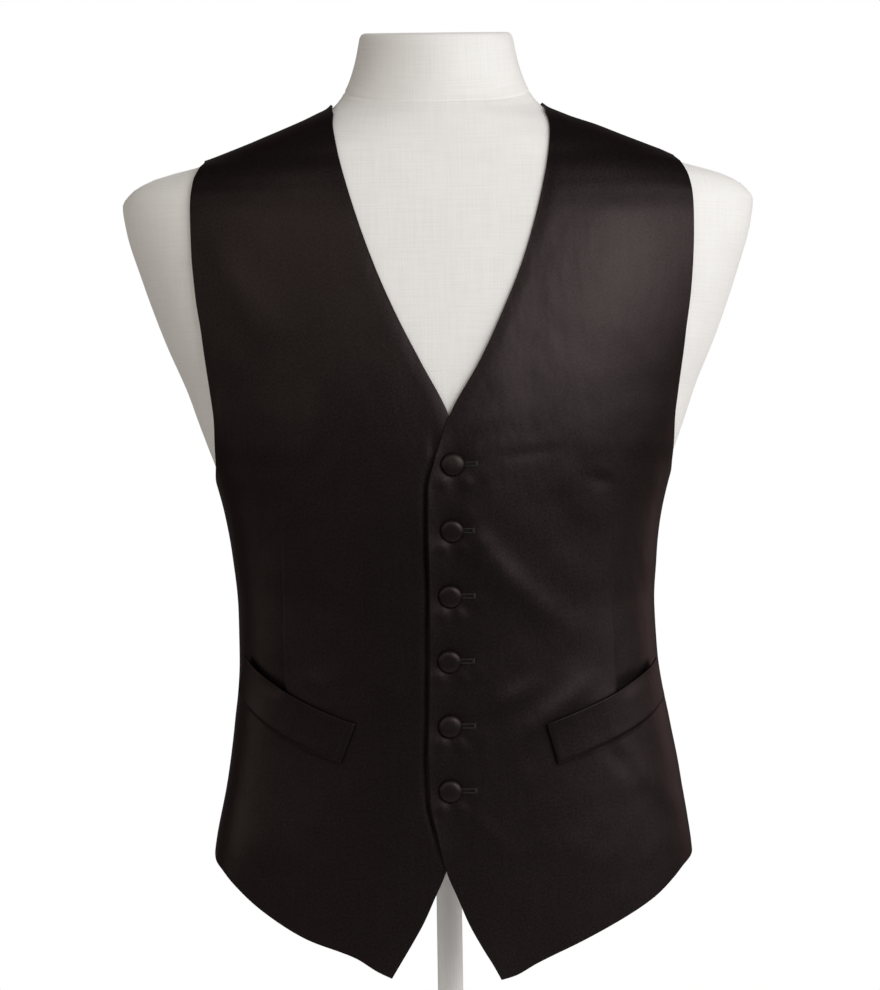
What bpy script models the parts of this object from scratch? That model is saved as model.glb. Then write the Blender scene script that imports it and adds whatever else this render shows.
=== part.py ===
"""A satin suit waistcoat, buttoned up on a limbless dress form on a low stand.

Metres, +Z up. The origin is on the floor, under the middle of the stand's round base.
The fronts face -Y, and +X is the wearer's left. A place on the figure is an angle, measured
round from the centre front, and a height.
"""

import math

import bmesh
import bpy
import numpy as np
from mathutils import Vector

MM = 0.001

# ---- the cloth ----
CLOTH_WALL = 1.5 * MM
SEAM_GAP = 0.3 * MM
LAP_GAP = 0.4 * MM  # between the left front and the right front under it

# ---- the fronts ----
NECK_POINT_HEIGHT = 0.7855
SHOULDER_END_HEIGHT = 0.7386
SHOULDER_SEAM_ANGLE = math.radians(94)  # a little behind the top of the shoulder
SIDE_SEAM_ANGLE = math.radians(96)
SIDE_HEM_HEIGHT = 0.2075
HEM_TILT = 5.5 * MM  # at the side seams the hem is this much higher on the right, lower on the left
UNDERARM_HEIGHT = 0.4860
UNDERARM_TURN = (math.radians(86), 0.4910)  # where the front armhole turns up: angle, height
V_BOTTOM_HEIGHT = 0.5388
NOTCH_HEIGHT = 0.1960
CLOSURE_SWING = -9.9 * MM  # how far the centre front line strays sideways at the notch
LAP_LIFT_FROM = 22 * MM  # the left front comes down to the figure between these two places
LAP_LIFT_TO = 75 * MM

# Inner edge of each front, from the hem point up to the neck, first to the notch and then where
# it is buttoned: distance past the centre front line (negative where the fronts lap), height.
FRONT_POINT = {
    "right": (
        (43.7 * MM, 0.1119),
        (37.2 * MM, 0.1224),
        (28.2 * MM, 0.1368),
        (17.7 * MM, 0.1548),
        (9.4 * MM, 0.1724),
    ),
    "left": (
        (42.1 * MM, 0.1096),
        (36.4 * MM, 0.1199),
        (27.3 * MM, 0.1347),
        (16.9 * MM, 0.1535),
        (9.1 * MM, 0.1716),
    ),
}
BUTTONED_EDGE = (
    (0.0 * MM, 0.1930),
    (-7.4 * MM, 0.2220),
    (-13.0 * MM, 0.2485),
    (-14.2 * MM, 0.2750),
    (-12.8 * MM, 0.3300),
    (-12.6 * MM, 0.3900),
    (-15.6 * MM, 0.4600),
    (-15.9 * MM, 0.4835),
    (-11.0 * MM, 0.5060),
)
NECKLINE = {
    "right": (
        (-11.0 * MM, 0.5060),
        (0.0 * MM, 0.5388),
        (20.9 * MM, 0.5790),
        (39.4 * MM, 0.6158),
        (55.2 * MM, 0.6530),
        (68.2 * MM, 0.6900),
        (79.6 * MM, 0.7290),
        (84.8 * MM, 0.7580),
        (84.9 * MM, 0.7720),
    ),
    "left": (
        (-11.0 * MM, 0.5060),
        (1.5 * MM, 0.5388),
        (25.2 * MM, 0.5790),
        (43.3 * MM, 0.6158),
        (59.4 * MM, 0.6530),
        (71.6 * MM, 0.6900),
        (81.8 * MM, 0.7290),
        (85.9 * MM, 0.7580),
        (84.9 * MM, 0.7720),
    ),
}

# Armhole of a front, from under the arm up: distance from the middle of the figure, height.
FRONT_ARMHOLE = (
    (178.0 * MM, 0.5050),
    (179.0 * MM, 0.5455),
    (186.5 * MM, 0.6005),
    (191.5 * MM, 0.6350),
    (194.6 * MM, 0.6750),
    (195.4 * MM, 0.7000),
    (193.3 * MM, 0.7200),
    (189.6 * MM, 0.7285),
    (185.4 * MM, 0.7335),
    (181.6 * MM, 0.7364),
)

# Hem of each front, from the hem point to the side seam: distance past the centre front, height.
FRONT_HEM = {
    "right": (
        (43.7 * MM, 0.1119),
        (54.2 * MM, 0.1168),
        (71.3 * MM, 0.1273),
        (109.9 * MM, 0.1419),
        (141.4 * MM, 0.1612),
        (164.4 * MM, 0.1815),
        (172.3 * MM, 0.1907),
        (176.7 * MM, 0.1958),
    ),
    "left": (
        (42.1 * MM, 0.1096),
        (52.7 * MM, 0.1124),
        (70.3 * MM, 0.1212),
        (109.9 * MM, 0.1385),
        (141.4 * MM, 0.1538),
        (164.4 * MM, 0.1671),
        (180.2 * MM, 0.1806),
        (188.6 * MM, 0.1886),
    ),
}

# The dart runs up each front from the pocket; above its tip the same line guides the rows.
DART_LINE = ((0.10, 127 * MM), (0.50, 127.5 * MM), (0.78, 134 * MM))  # height, distance out
DART_HALF_WIDTH = 1.4 * MM
DART_TIP_HEIGHT = 0.4950
DART_FOOT_HEIGHT = 0.3200
DART_FADE = (0.240, 0.310)  # below the pocket the dart's relief dies away between these heights
DART_DEPTH = 1.3 * MM  # how far the cloth sinks behind the dart
DART_SWELL = 0.9 * MM  # and stands up in front of it
DART_SHOULDER = 18 * MM  # how wide both are

# ---- the backs ----
BACK_NECK_HEIGHT = 0.7740
BACK_HEM_HEIGHT = 0.2000
# Armhole of a back, from under the arm up: angle round from the front in degrees, height.
BACK_ARMHOLE = (
    (104.0, 0.4900),
    (113.5, 0.5080),
    (119.0, 0.5400),
    (121.0, 0.5900),
    (118.5, 0.6400),
    (115.0, 0.6850),
    (112.0, 0.7180),
    (106.0, 0.7335),
)
# Neckline of a back, from the centre: angle in degrees, rise over the centre.
BACK_NECKLINE = ((150, 1 * MM), (120, 6 * MM))
BACK_HEM_ANGLES = (140, 112)

# ---- pocket welts ----
WELT_HEIGHT = 32 * MM
WELT_CUTS = {
    # length, slope, lean of its ends, how far its middle sags, then its inner lower corner:
    # distance round the figure, height
    "left": (112.5 * MM, math.radians(23.5), math.radians(13.5), 2.6 * MM, 76.0 * MM, 0.2735),
    "right": (109.0 * MM, math.radians(27.5), math.radians(22.5), 3.8 * MM, 87.3 * MM, 0.2770),
}
WELT_MOUTH = 1.3 * MM  # how far the top edge stands open

# ---- buttons ----
BUTTON_COUNT = 6
BUTTON_RADIUS = 9.0 * MM
BUTTON_TOP_HEIGHT = 0.5015
BUTTON_PITCH = 49.4 * MM
BUTTON_OFFSET = 3.2 * MM  # past the centre front line
# Turned outline of a covered button: radius, height over the cloth, from the crown down.
BUTTON_OUTLINE = (
    (0.0, 5.6 * MM),
    (4.0 * MM, 5.3 * MM),
    (7.0 * MM, 4.3 * MM),
    (8.6 * MM, 3.1 * MM),
    (BUTTON_RADIUS, 2.1 * MM),
    (7.8 * MM, 1.2 * MM),
    (2.2 * MM, 1.2 * MM),
    (2.2 * MM, 0.0),
    (0.0, 0.0),
)

# ---- the dress form ----
HIP_SWAY = 4 * MM  # the hips, and the cloth on them, stand this far to the left
HIP_SWAY_FROM = 0.400
HIP_SWAY_FULL = 0.250
# The figure's left side is a little fuller at the hip, and its left shoulder a little higher.
LEFT_HIP = 2.8 * MM
LEFT_HIP_HEIGHTS = ((0.470, 0.360), (0.200, 0.270))  # where it swells and fades, from above and below
LEFT_HIP_ACROSS = (0.060, 0.155)
LEFT_SHOULDER = 2.4 * MM
LEFT_SHOULDER_HEIGHTS = (0.660, 0.725)
LEFT_SHOULDER_ACROSS = ((0.090, 0.130), (0.195, 0.170))
FORM_BOTTOM = 0.2140
FORM_TOP = 0.8435
# Rounded edges, from the middle of the bottom out, and from the top's edge in: how far in from
# the end, share of the full section's width.
FORM_BOTTOM_EDGE = ((0.0, 0.0), (0.0, 0.5), (0.0, 0.955), (3 * MM, 0.99))
FORM_TOP_EDGE = ((8 * MM, 1.0), (2 * MM, 0.985), (0.0, 0.93), (0.0, 0.5), (0.0, 0.0))
NECK_TILT = math.radians(8.7)  # the neck's cap slopes down to the front
NECK_TILT_FROM = 0.765
NECK_TILT_FULL = 0.800
# The figure: height, half width, depth in front, depth behind, and how square its sections are
# (2 is an ellipse).
FIGURE = np.array(
    (
        (0.100, 0.1900, 0.0918, 0.1120, 2.40),
        (0.200, 0.1840, 0.0952, 0.1080, 2.45),
        (0.250, 0.1745, 0.0975, 0.1020, 2.45),
        (0.300, 0.1662, 0.1004, 0.0950, 2.45),
        (0.350, 0.1598, 0.1044, 0.0885, 2.42),
        (0.390, 0.1588, 0.1086, 0.0860, 2.42),
        (0.430, 0.1625, 0.1134, 0.0875, 2.44),
        (0.470, 0.1695, 0.1184, 0.0925, 2.46),
        (0.500, 0.1776, 0.1211, 0.0970, 2.48),
        (0.520, 0.1849, 0.1221, 0.1000, 2.50),
        (0.540, 0.1921, 0.1224, 0.1025, 2.50),
        (0.560, 0.1990, 0.1221, 0.1045, 2.50),
        (0.600, 0.2160, 0.1194, 0.1070, 2.50),
        (0.650, 0.2340, 0.1130, 0.1080, 2.48),
        (0.690, 0.2460, 0.1055, 0.1060, 2.42),
        (0.708, 0.2485, 0.1008, 0.1030, 2.30),
        (0.7185, 0.2415, 0.0974, 0.1008, 2.26),
        (0.7285, 0.2230, 0.0940, 0.0982, 2.26),
        (0.7362, 0.1930, 0.0910, 0.0955, 2.28),
        (0.747, 0.1625, 0.0885, 0.0930, 2.30),
        (0.7615, 0.1270, 0.0825, 0.0870, 2.20),
        (0.772, 0.1030, 0.0780, 0.0820, 2.15),
        (0.7835, 0.0838, 0.0735, 0.0765, 2.10),
        (0.795, 0.0740, 0.0690, 0.0705, 2.05),
        (0.820, 0.0645, 0.0640, 0.0605, 2.00),
        (0.845, 0.0595, 0.0635, 0.0560, 2.00),
    )
)

# How far the cloth stands off the figure: height, in front, at the side, behind.
EASE = np.array(
    (
        (0.100, 1.5 * MM, 2.5 * MM, 3.0 * MM),
        (0.200, 2.2 * MM, 2.4 * MM, 4.0 * MM),
        (0.300, 3.0 * MM, 2.2 * MM, 5.0 * MM),
        (0.390, 3.4 * MM, 2.2 * MM, 6.5 * MM),
        (0.470, 3.2 * MM, 2.0 * MM, 5.0 * MM),
        (0.530, 2.4 * MM, 2.2 * MM, 3.4 * MM),
        (0.600, 1.6 * MM, 1.8 * MM, 2.6 * MM),
        (0.680, 1.3 * MM, 1.6 * MM, 2.6 * MM),
        (0.720, 1.7 * MM, 1.8 * MM, 2.8 * MM),
        (0.760, 1.6 * MM, 1.7 * MM, 3.0 * MM),
        (0.785, 1.3 * MM, 1.7 * MM, 3.2 * MM),
        (0.850, 1.3 * MM, 1.7 * MM, 3.2 * MM),
    )
)

# The largest folds: the front they cross, then from and to (distance past the middle, height),
# half width, and how far they stand up from the cloth, or sink into it.
FOLDS = (
    ("left", (0.022, 0.478), (0.108, 0.356), 11 * MM, 1.7 * MM),
    ("left", (0.020, 0.506), (0.132, 0.500), 9 * MM, -1.0 * MM),
    ("left", (0.120, 0.352), (0.040, 0.284), 9 * MM, 1.3 * MM),
    ("left", (0.100, 0.357), (0.024, 0.312), 8 * MM, 1.0 * MM),
    ("right", (0.170, 0.690), (0.124, 0.602), 12 * MM, 1.4 * MM),
    ("back", (0.020, 0.640), (0.120, 0.560), 14 * MM, 1.2 * MM),
    ("back", (0.030, 0.330), (0.120, 0.372), 12 * MM, 1.2 * MM),
)

# ---- the stand ----
POLE_RADIUS = 10 * MM
BASE_RADIUS = 150 * MM
BASE_SOCKET_FLOOR = 4 * MM
FLANGE_RADIUS = 50 * MM
FLANGE_THICKNESS = 5 * MM
# Turned outlines, radius and height, from the top down.
BASE_OUTLINE = (
    (0.0, BASE_SOCKET_FLOOR),
    (POLE_RADIUS + SEAM_GAP, BASE_SOCKET_FLOOR),
    (POLE_RADIUS + SEAM_GAP, 20 * MM),
    (17 * MM, 20 * MM),
    (20 * MM, 12 * MM),
    (60 * MM, 9 * MM),
    (144 * MM, 7 * MM),
    (149 * MM, 5 * MM),
    (BASE_RADIUS, 2 * MM),
    (149 * MM, 0.0),
    (0.0, 0.0),
)
POLE_OUTLINE = (
    (0.0, FORM_BOTTOM - SEAM_GAP),
    (FLANGE_RADIUS, FORM_BOTTOM - SEAM_GAP),
    (FLANGE_RADIUS, FORM_BOTTOM - SEAM_GAP - FLANGE_THICKNESS),
    (16 * MM, FORM_BOTTOM - SEAM_GAP - FLANGE_THICKNESS),
    (POLE_RADIUS, FORM_BOTTOM - 20 * MM),
    (POLE_RADIUS, BASE_SOCKET_FLOOR + SEAM_GAP),
    (0.0, BASE_SOCKET_FLOOR + SEAM_GAP),
)

# ---- how finely the pieces are divided ----
FRONT_INNER_COLUMNS = 10
FRONT_OUTER_COLUMNS = 7
DART_SHARE = 0.6  # about how far across a front the dart lies
ROW_SAMPLES = 61
SEAM_SHARE = 0.5  # the side seam's share of a panel's outer edge; the armhole has the rest
EDGE_SHARE = 0.54  # the buttoned edge's share of a front's inner edge; the neckline has the rest
FRONT_ROWS = (20, 24)  # below the armhole, and beside it
BACK_NECK_COLUMNS = 6
BACK_SHOULDER_COLUMNS = 7
BACK_ROWS = (20, 22)
ROW_CROWDING = 1.4  # how much closer the rows are at the shoulder
SEAM_POINTS = 15
WELT_COLUMNS = 13
WELT_ROWS = 3
FORM_SEGMENTS = 38
FORM_BODY_RINGS = (FORM_BOTTOM + 10 * MM, 0.690, 18)  # lowest, highest, how many
FORM_SHOULDER_RINGS = (0.700, 0.800, 16)
FORM_NECK_RINGS = (0.812, 0.826)
FORM_CROWDING = 1.6  # how much closer the form's segments are at its sides than in front
BUTTON_STEPS = 16
STAND_STEPS = 24

SATIN = ((0.020, 0.016, 0.015), 0.38, 0.0)  # colour, roughness, metallic
LINEN = ((0.74, 0.72, 0.67), 0.85, 0.0)
WHITE_STEEL = ((0.86, 0.86, 0.85), 0.35, 0.0)


# ---------------------------------------------------------------- numbers


def ramp(value, start, end):
    """0 before start, 1 after end, smooth between."""
    share = np.clip((value - start) / (end - start), 0.0, 1.0)
    return share * share * (3.0 - 2.0 * share)


def slopes(at, values):
    """Slopes of a smooth line through points, flat where it turns, so that it never overshoots."""
    step = np.diff(at)
    rise = np.diff(values) / step
    found = np.zeros_like(values, dtype=float)
    found[0], found[-1] = rise[0], rise[-1]
    for k in range(1, len(at) - 1):
        before, after = rise[k - 1], rise[k]
        if before * after > 0:
            first, second = 2 * step[k] + step[k - 1], step[k] + 2 * step[k - 1]
            found[k] = (first + second) / (first / before + second / after)
    return found


def smooth_line(at, values):
    """A function through the points (at, values), with no corners."""
    at, values = np.asarray(at, float), np.asarray(values, float)
    slope = slopes(at, values)

    def line(where):
        where = np.clip(where, at[0], at[-1])
        k = np.clip(np.searchsorted(at, where, side="right") - 1, 0, len(at) - 2)
        step = at[k + 1] - at[k]
        s = (where - at[k]) / step
        return (
            values[k] * (1 + 2 * s) * (1 - s) ** 2
            + slope[k] * step * s * (1 - s) ** 2
            + values[k + 1] * s * s * (3 - 2 * s)
            + slope[k + 1] * step * s * s * (s - 1)
        )

    return line


SECTION_ANGLES = np.linspace(0, math.pi, 181)

half_width_at, front_depth_at, back_depth_at, squareness_at = (
    smooth_line(FIGURE[:, 0], FIGURE[:, column]) for column in (1, 2, 3, 4)
)
ease_in_front, ease_at_side, ease_behind = (
    smooth_line(EASE[:, 0], EASE[:, column]) for column in (1, 2, 3)
)
dart_line_at = smooth_line(*zip(*DART_LINE))


# ---------------------------------------------------------------- the figure


def figure_point(angle, height):
    """The place on the figure at that angle and height."""
    angle, height = np.broadcast_arrays(np.asarray(angle, float), height)
    depth = np.where(np.cos(angle) >= 0, front_depth_at(height), back_depth_at(height))
    power = squareness_at(height)
    across = np.abs(np.sin(angle)) / half_width_at(height)
    along = np.abs(np.cos(angle)) / depth
    radius = (across**power + along**power) ** (-1 / power)
    x, y = radius * np.sin(angle), -radius * np.cos(angle)
    z = height + y * math.tan(NECK_TILT) * ramp(height, NECK_TILT_FROM, NECK_TILT_FULL)
    return np.stack((x, y, z), -1)


def figure_normal(angle, height):
    """The way straight out of the figure there."""
    turn, rise = 0.002, 0.0004
    round_it = figure_point(angle + turn, height) - figure_point(angle - turn, height)
    up = figure_point(angle, height + rise) - figure_point(angle, height - rise)
    out = np.cross(round_it, up)
    return out / np.linalg.norm(out, axis=-1, keepdims=True)


def between(value, rising, falling):
    """1 between the two ramps, rising from the first pair to 1 and back to 0 over the second."""
    return ramp(value, *rising) * ramp(-value, -falling[0], -falling[1])


def swayed(point):
    """The place after the hips' sway and with the figure's fuller, higher left side."""
    x, z = point[..., 0], point[..., 2]
    sway = HIP_SWAY * ramp(-z, -HIP_SWAY_FROM, -HIP_SWAY_FULL)
    above, below = LEFT_HIP_HEIGHTS
    sway = sway + LEFT_HIP * ramp(x, *LEFT_HIP_ACROSS) * between(z, below, above)
    rise = LEFT_SHOULDER * ramp(z, *LEFT_SHOULDER_HEIGHTS) * between(x, *LEFT_SHOULDER_ACROSS)
    return point + np.stack((sway, 0 * sway, rise), -1)


def ease_at(angle, height):
    """How far the cloth's inside stands off the figure."""
    front = np.clip(np.cos(angle), 0, 1) ** 2
    behind = np.clip(-np.cos(angle), 0, 1) ** 2
    side = 1 - front - behind
    return front * ease_in_front(height) + side * ease_at_side(height) + behind * ease_behind(height)


def angle_of(distance, height):
    """The angle, in front, at which the cloth is that far from the figure's middle."""
    stand_off = ease_at(math.pi / 4, height) + CLOTH_WALL
    half, depth = half_width_at(height) + stand_off, front_depth_at(height) + stand_off
    power = squareness_at(height)
    share = np.clip(np.abs(distance) / half, 0, 0.9999)
    return np.arctan2(distance, depth * (1 - share**power) ** (1 / power))


def run_round(height):
    """Distances round the figure from the centre front, at each of SECTION_ANGLES."""
    points = figure_point(SECTION_ANGLES, height)
    return np.concatenate(([0.0], np.cumsum(np.linalg.norm(np.diff(points, axis=0), axis=1))))


def flattened(places, behind=False):
    """Places (angle, height) as in a flat cut: distance round from the centre, and height."""
    flat = []
    for angle, height in places:
        run = run_round(height)
        distance = np.sign(angle) * np.interp(abs(angle), SECTION_ANGLES, run)
        flat.append((run[-1] - distance if behind else distance, height))
    return flat


def rolled_round(flat, behind=False):
    """The other way: places (distance round, height) in a flat cut as angles and heights."""
    places = np.array(flat, float)
    for place in places.reshape(-1, 2):
        run = run_round(place[1])
        distance = run[-1] - place[0] if behind else place[0]
        place[0] = np.sign(distance) * np.interp(abs(distance), run, SECTION_ANGLES)
    return places


def closure_at(height):
    """Where the centre front line is, across the figure."""
    return CLOSURE_SWING * ramp(-height, -V_BOTTOM_HEIGHT, -NOTCH_HEIGHT)


# ---------------------------------------------------------------- the cloth on it


def folds_at(piece, distance, height):
    """How far the folds lift the cloth, for points at these distances and heights."""
    lift = np.zeros(np.broadcast(distance, height).shape)
    for name, start, end, half_width, rise in FOLDS:
        if name != piece:
            continue
        run = np.subtract(end, start)
        length = np.linalg.norm(run)
        along = ((distance - start[0]) * run[0] + (height - start[1]) * run[1]) / length**2
        off = ((distance - start[0]) * run[1] - (height - start[1]) * run[0]) / length
        swell = np.sin(math.pi * np.clip(along, 0, 1)) ** 2
        lift += rise * swell * np.exp(-((off / half_width) ** 2))
    return lift


def dart_at(distance, height):
    """The dart: the cloth swells in front of it and drops behind it, down to the pocket."""
    from_line = distance - dart_line_at(height)
    strength = ramp(-height, -DART_TIP_HEIGHT, -DART_FOOT_HEIGHT) * ramp(height, *DART_FADE)
    near = np.exp(-np.abs(from_line) / DART_SHOULDER)
    return strength * near * np.where(from_line < 0, DART_SWELL, -DART_DEPTH)


def lap_lift(x, height):
    """The left front lies on the right front round the centre front line."""
    from_line = x - closure_at(height)
    return (CLOTH_WALL + LAP_GAP) * ramp(-from_line, -LAP_LIFT_TO, -LAP_LIFT_FROM)


def cloth_point(piece, side, angle, height, out=0.0, over_dart=False):
    """A place on the inside of a piece, or out from it. side is 1 on the wearer's left."""
    point = figure_point(angle, height)
    distance = np.abs(point[..., 0])
    lift = ease_at(angle, height) + folds_at(piece, distance, height)
    if over_dart:
        lift = lift + DART_SWELL
    elif piece != "back":
        lift = lift + dart_at(distance, height)
    if piece == "left":
        lift = lift + lap_lift(point[..., 0], height)
    point = point + figure_normal(angle, height) * (lift + out)[..., None]
    return swayed(point * np.array((side, 1, 1)))


# ---------------------------------------------------------------- panel outlines


def outline(*stretches):
    """A curve of smooth stretches that meet at corners, as a function of a share from 0 to 1.

    Each stretch is (its last share, its points in the flat cut).
    """
    made, start = [], 0.0
    for end, points in stretches:
        points = np.array(points, float)
        run = np.concatenate(([0.0], np.cumsum(np.hypot(*np.diff(points, axis=0).T))))
        at = start + (end - start) * run / run[-1]
        made.append((start, end, smooth_line(at, points[:, 0]), smooth_line(at, points[:, 1])))
        start = end

    def curve(share):
        share = np.asarray(share, float)
        found = np.zeros(share.shape + (2,))
        for begin, finish, distance, height in made:
            inside = (share >= begin) & (share <= finish)
            found[inside] = np.stack((distance(share[inside]), height(share[inside])), -1)
        return found

    return curve


def patch(inner, outer, bottom, top):
    """Fills the four edges of a panel: a function of the shares across and up."""

    def inside(across, up):
        across, up = np.broadcast_arrays(np.asarray(across, float), np.asarray(up, float))
        u, v = across[..., None], up[..., None]
        sides = (1 - u) * inner(up) + u * outer(up) + (1 - v) * bottom(across) + v * top(across)
        corners = (
            (1 - u) * (1 - v) * inner(np.zeros(up.shape))
            + u * (1 - v) * outer(np.zeros(up.shape))
            + (1 - u) * v * inner(np.ones(up.shape))
            + u * v * outer(np.ones(up.shape))
        )
        return sides - corners

    return inside


def side_hem_height(side):
    return SIDE_HEM_HEIGHT - side * HEM_TILT


def seam(angle, start, end, gap_side):
    """A seam at that angle, between two heights, half a gap to one side of its line."""
    return [
        (angle + gap_side * SEAM_GAP / 2 / half_width_at(height), height)
        for height in np.linspace(start, end, SEAM_POINTS)
    ]


def front_outline(piece, side):
    """The cut of one front, for the side it is worn on: 1 is the wearer's left."""

    def past_centre(table):
        return flattened([(angle_of(d + side * closure_at(h), h), h) for d, h in table])

    side_seam = seam(SIDE_SEAM_ANGLE, side_hem_height(side), UNDERARM_HEIGHT, -1)
    shoulder_seam = seam(SHOULDER_SEAM_ANGLE, NECK_POINT_HEIGHT, SHOULDER_END_HEIGHT, -1)
    armhole = [side_seam[-1], UNDERARM_TURN]
    armhole += [(angle_of(d, h), h) for d, h in FRONT_ARMHOLE] + [shoulder_seam[-1]]
    edge = past_centre(FRONT_POINT[piece] + BUTTONED_EDGE)
    neckline = past_centre(NECKLINE[piece]) + flattened(shoulder_seam[:1])
    hem = past_centre(FRONT_HEM[piece]) + flattened(side_seam[:1])
    return patch(
        inner=outline((EDGE_SHARE, edge), (1.0, neckline)),
        outer=outline((SEAM_SHARE, flattened(side_seam)), (1.0, flattened(armhole))),
        bottom=outline((1.0, hem)),
        top=outline((1.0, flattened(shoulder_seam))),
    )


def back_outline(side):
    """The cut of one back half, from the centre back seam to the side."""
    side_seam = seam(SIDE_SEAM_ANGLE, side_hem_height(side), UNDERARM_HEIGHT, 1)
    shoulder_seam = seam(SHOULDER_SEAM_ANGLE, NECK_POINT_HEIGHT, SHOULDER_END_HEIGHT, 1)
    centre = [
        (math.pi - SEAM_GAP / 2 / back_depth_at(height), height)
        for height in np.linspace(BACK_HEM_HEIGHT, BACK_NECK_HEIGHT, SEAM_POINTS)
    ]
    armhole = [(math.radians(angle), height) for angle, height in BACK_ARMHOLE]
    armhole = side_seam[-1:] + armhole + shoulder_seam[-1:]
    halfway = (BACK_HEM_HEIGHT + side_hem_height(side)) / 2
    hem = list(zip(map(math.radians, BACK_HEM_ANGLES), (BACK_HEM_HEIGHT, halfway)))
    hem = centre[:1] + hem + side_seam[:1]
    neckline = [(math.radians(angle), BACK_NECK_HEIGHT + rise) for angle, rise in BACK_NECKLINE]
    neckline = centre[-1:] + neckline + shoulder_seam[:1]
    neck_share = BACK_NECK_COLUMNS / (BACK_NECK_COLUMNS + BACK_SHOULDER_COLUMNS)
    centre, side_seam, armhole, hem, neckline, shoulder_seam = (
        flattened(places, behind=True)
        for places in (centre, side_seam, armhole, hem, neckline, shoulder_seam)
    )
    return patch(
        inner=outline((1.0, centre)),
        outer=outline((SEAM_SHARE, side_seam), (1.0, armhole)),
        bottom=outline((1.0, hem)),
        top=outline((neck_share, neckline), (1.0, shoulder_seam)),
    )


# ---------------------------------------------------------------- making objects


def row_shares(below, beside):
    """Shares up a panel: the rows below its armhole, then those beside it, closer at the top."""
    beside_it = 1 - (1 - SEAM_SHARE) * np.linspace(1, 0, beside + 1) ** ROW_CROWDING
    return np.concatenate((np.linspace(0, SEAM_SHARE, below + 1), beside_it[1:]))


def material(name, finish):
    colour, roughness, metallic = finish
    made = bpy.data.materials.get(name) or bpy.data.materials.new(name)
    made.use_nodes = True
    shader = made.node_tree.nodes["Principled BSDF"]
    shader.inputs["Base Color"].default_value = (*colour, 1)
    shader.inputs["Roughness"].default_value = roughness
    shader.inputs["Metallic"].default_value = metallic
    made.diffuse_color = (*colour, 1)
    return made


def add_object(name, bm, collection, finish_name, finish):
    """Turns a bmesh into a named object with its own material, shaded smooth."""
    mesh = bpy.data.meshes.new(name)
    bm.to_mesh(mesh)
    bm.free()
    mesh.materials.append(material(finish_name, finish))
    mesh.shade_smooth()
    made = bpy.data.objects.new(name, mesh)
    collection.objects.link(made)
    return made


def add_sheet(name, rows, columns, place, collection):
    """A sheet of cloth: a grid laid in place, then given its thickness outwards.

    place(column, row) gives the points for arrays of grid indices.
    """
    bm = bmesh.new()
    bmesh.ops.create_grid(bm, x_segments=columns, y_segments=rows, size=0.5)
    grid = np.array([v.co[:2] for v in bm.verts]) + 0.5
    column = np.rint(grid[:, 0] * columns).astype(int)
    row = np.rint(grid[:, 1] * rows).astype(int)
    for vert, point in zip(bm.verts, place(column, row)):
        vert.co = point
    bm.normal_update()
    level = Vector((1, 1, 0))
    if sum(face.normal.dot(face.calc_center_median() * level) for face in bm.faces) < 0:
        bmesh.ops.reverse_faces(bm, faces=bm.faces)
    made = add_object(name, bm, collection, name + "_satin", SATIN)
    solidify = made.modifiers.new("wall", "SOLIDIFY")
    solidify.thickness = CLOTH_WALL
    solidify.offset = 1
    return made


def add_turned(name, profile, steps, collection, finish_name, finish):
    """A solid turned about its own Z axis from an outline of (radius, height)."""
    bm = bmesh.new()
    verts = [bm.verts.new((radius, 0, height)) for radius, height in profile]
    for first, second in zip(verts, verts[1:]):
        bm.edges.new((first, second))
    made = add_object(name, bm, collection, finish_name, finish)
    screw = made.modifiers.new("turned", "SCREW")
    screw.axis = "Z"
    screw.steps = screw.render_steps = steps
    screw.use_merge_vertices = True
    screw.merge_threshold = 0.01 * MM
    return made


# ---------------------------------------------------------------- the pieces


def add_front(piece, side, collection):
    """One front, with a column of its grid on each edge of the dart."""
    cut = front_outline(piece, side)
    fine = np.linspace(0, 1, ROW_SAMPLES)
    columns = FRONT_INNER_COLUMNS + 1 + FRONT_OUTER_COLUMNS
    places = []
    for up in row_shares(*FRONT_ROWS):
        line = rolled_round(cut(fine, up))
        x = figure_point(line[:, 0], line[:, 1])[:, 0]
        rising = slice(0, int(np.argmax(x)) + 1)
        dart = dart_line_at(np.interp(DART_SHARE, fine, line[:, 1]))
        before, after = (
            np.interp(dart + gap, x[rising], fine[rising])
            for gap in (-DART_HALF_WIDTH, DART_HALF_WIDTH)
        )
        across = np.concatenate(
            (
                np.linspace(0, before, FRONT_INNER_COLUMNS + 1),
                np.linspace(after, 1, FRONT_OUTER_COLUMNS + 1),
            )
        )
        places.append(cut(across, up))
    places = rolled_round(places)

    def place(column, row):
        angle, height = places[row, column].T
        return cloth_point(piece, side, angle, height)

    return add_sheet("front_" + piece, sum(FRONT_ROWS), columns, place, collection)


def add_back(piece, side, collection):
    """One half of the back."""
    cut = back_outline(side)
    columns = BACK_NECK_COLUMNS + BACK_SHOULDER_COLUMNS
    shares = row_shares(*BACK_ROWS)

    def place(column, row):
        angle, height = rolled_round(cut(column / columns, shares[row]), behind=True).T
        return cloth_point("back", side, angle, height)

    return add_sheet("back_" + piece, sum(BACK_ROWS), columns, place, collection)


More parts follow.
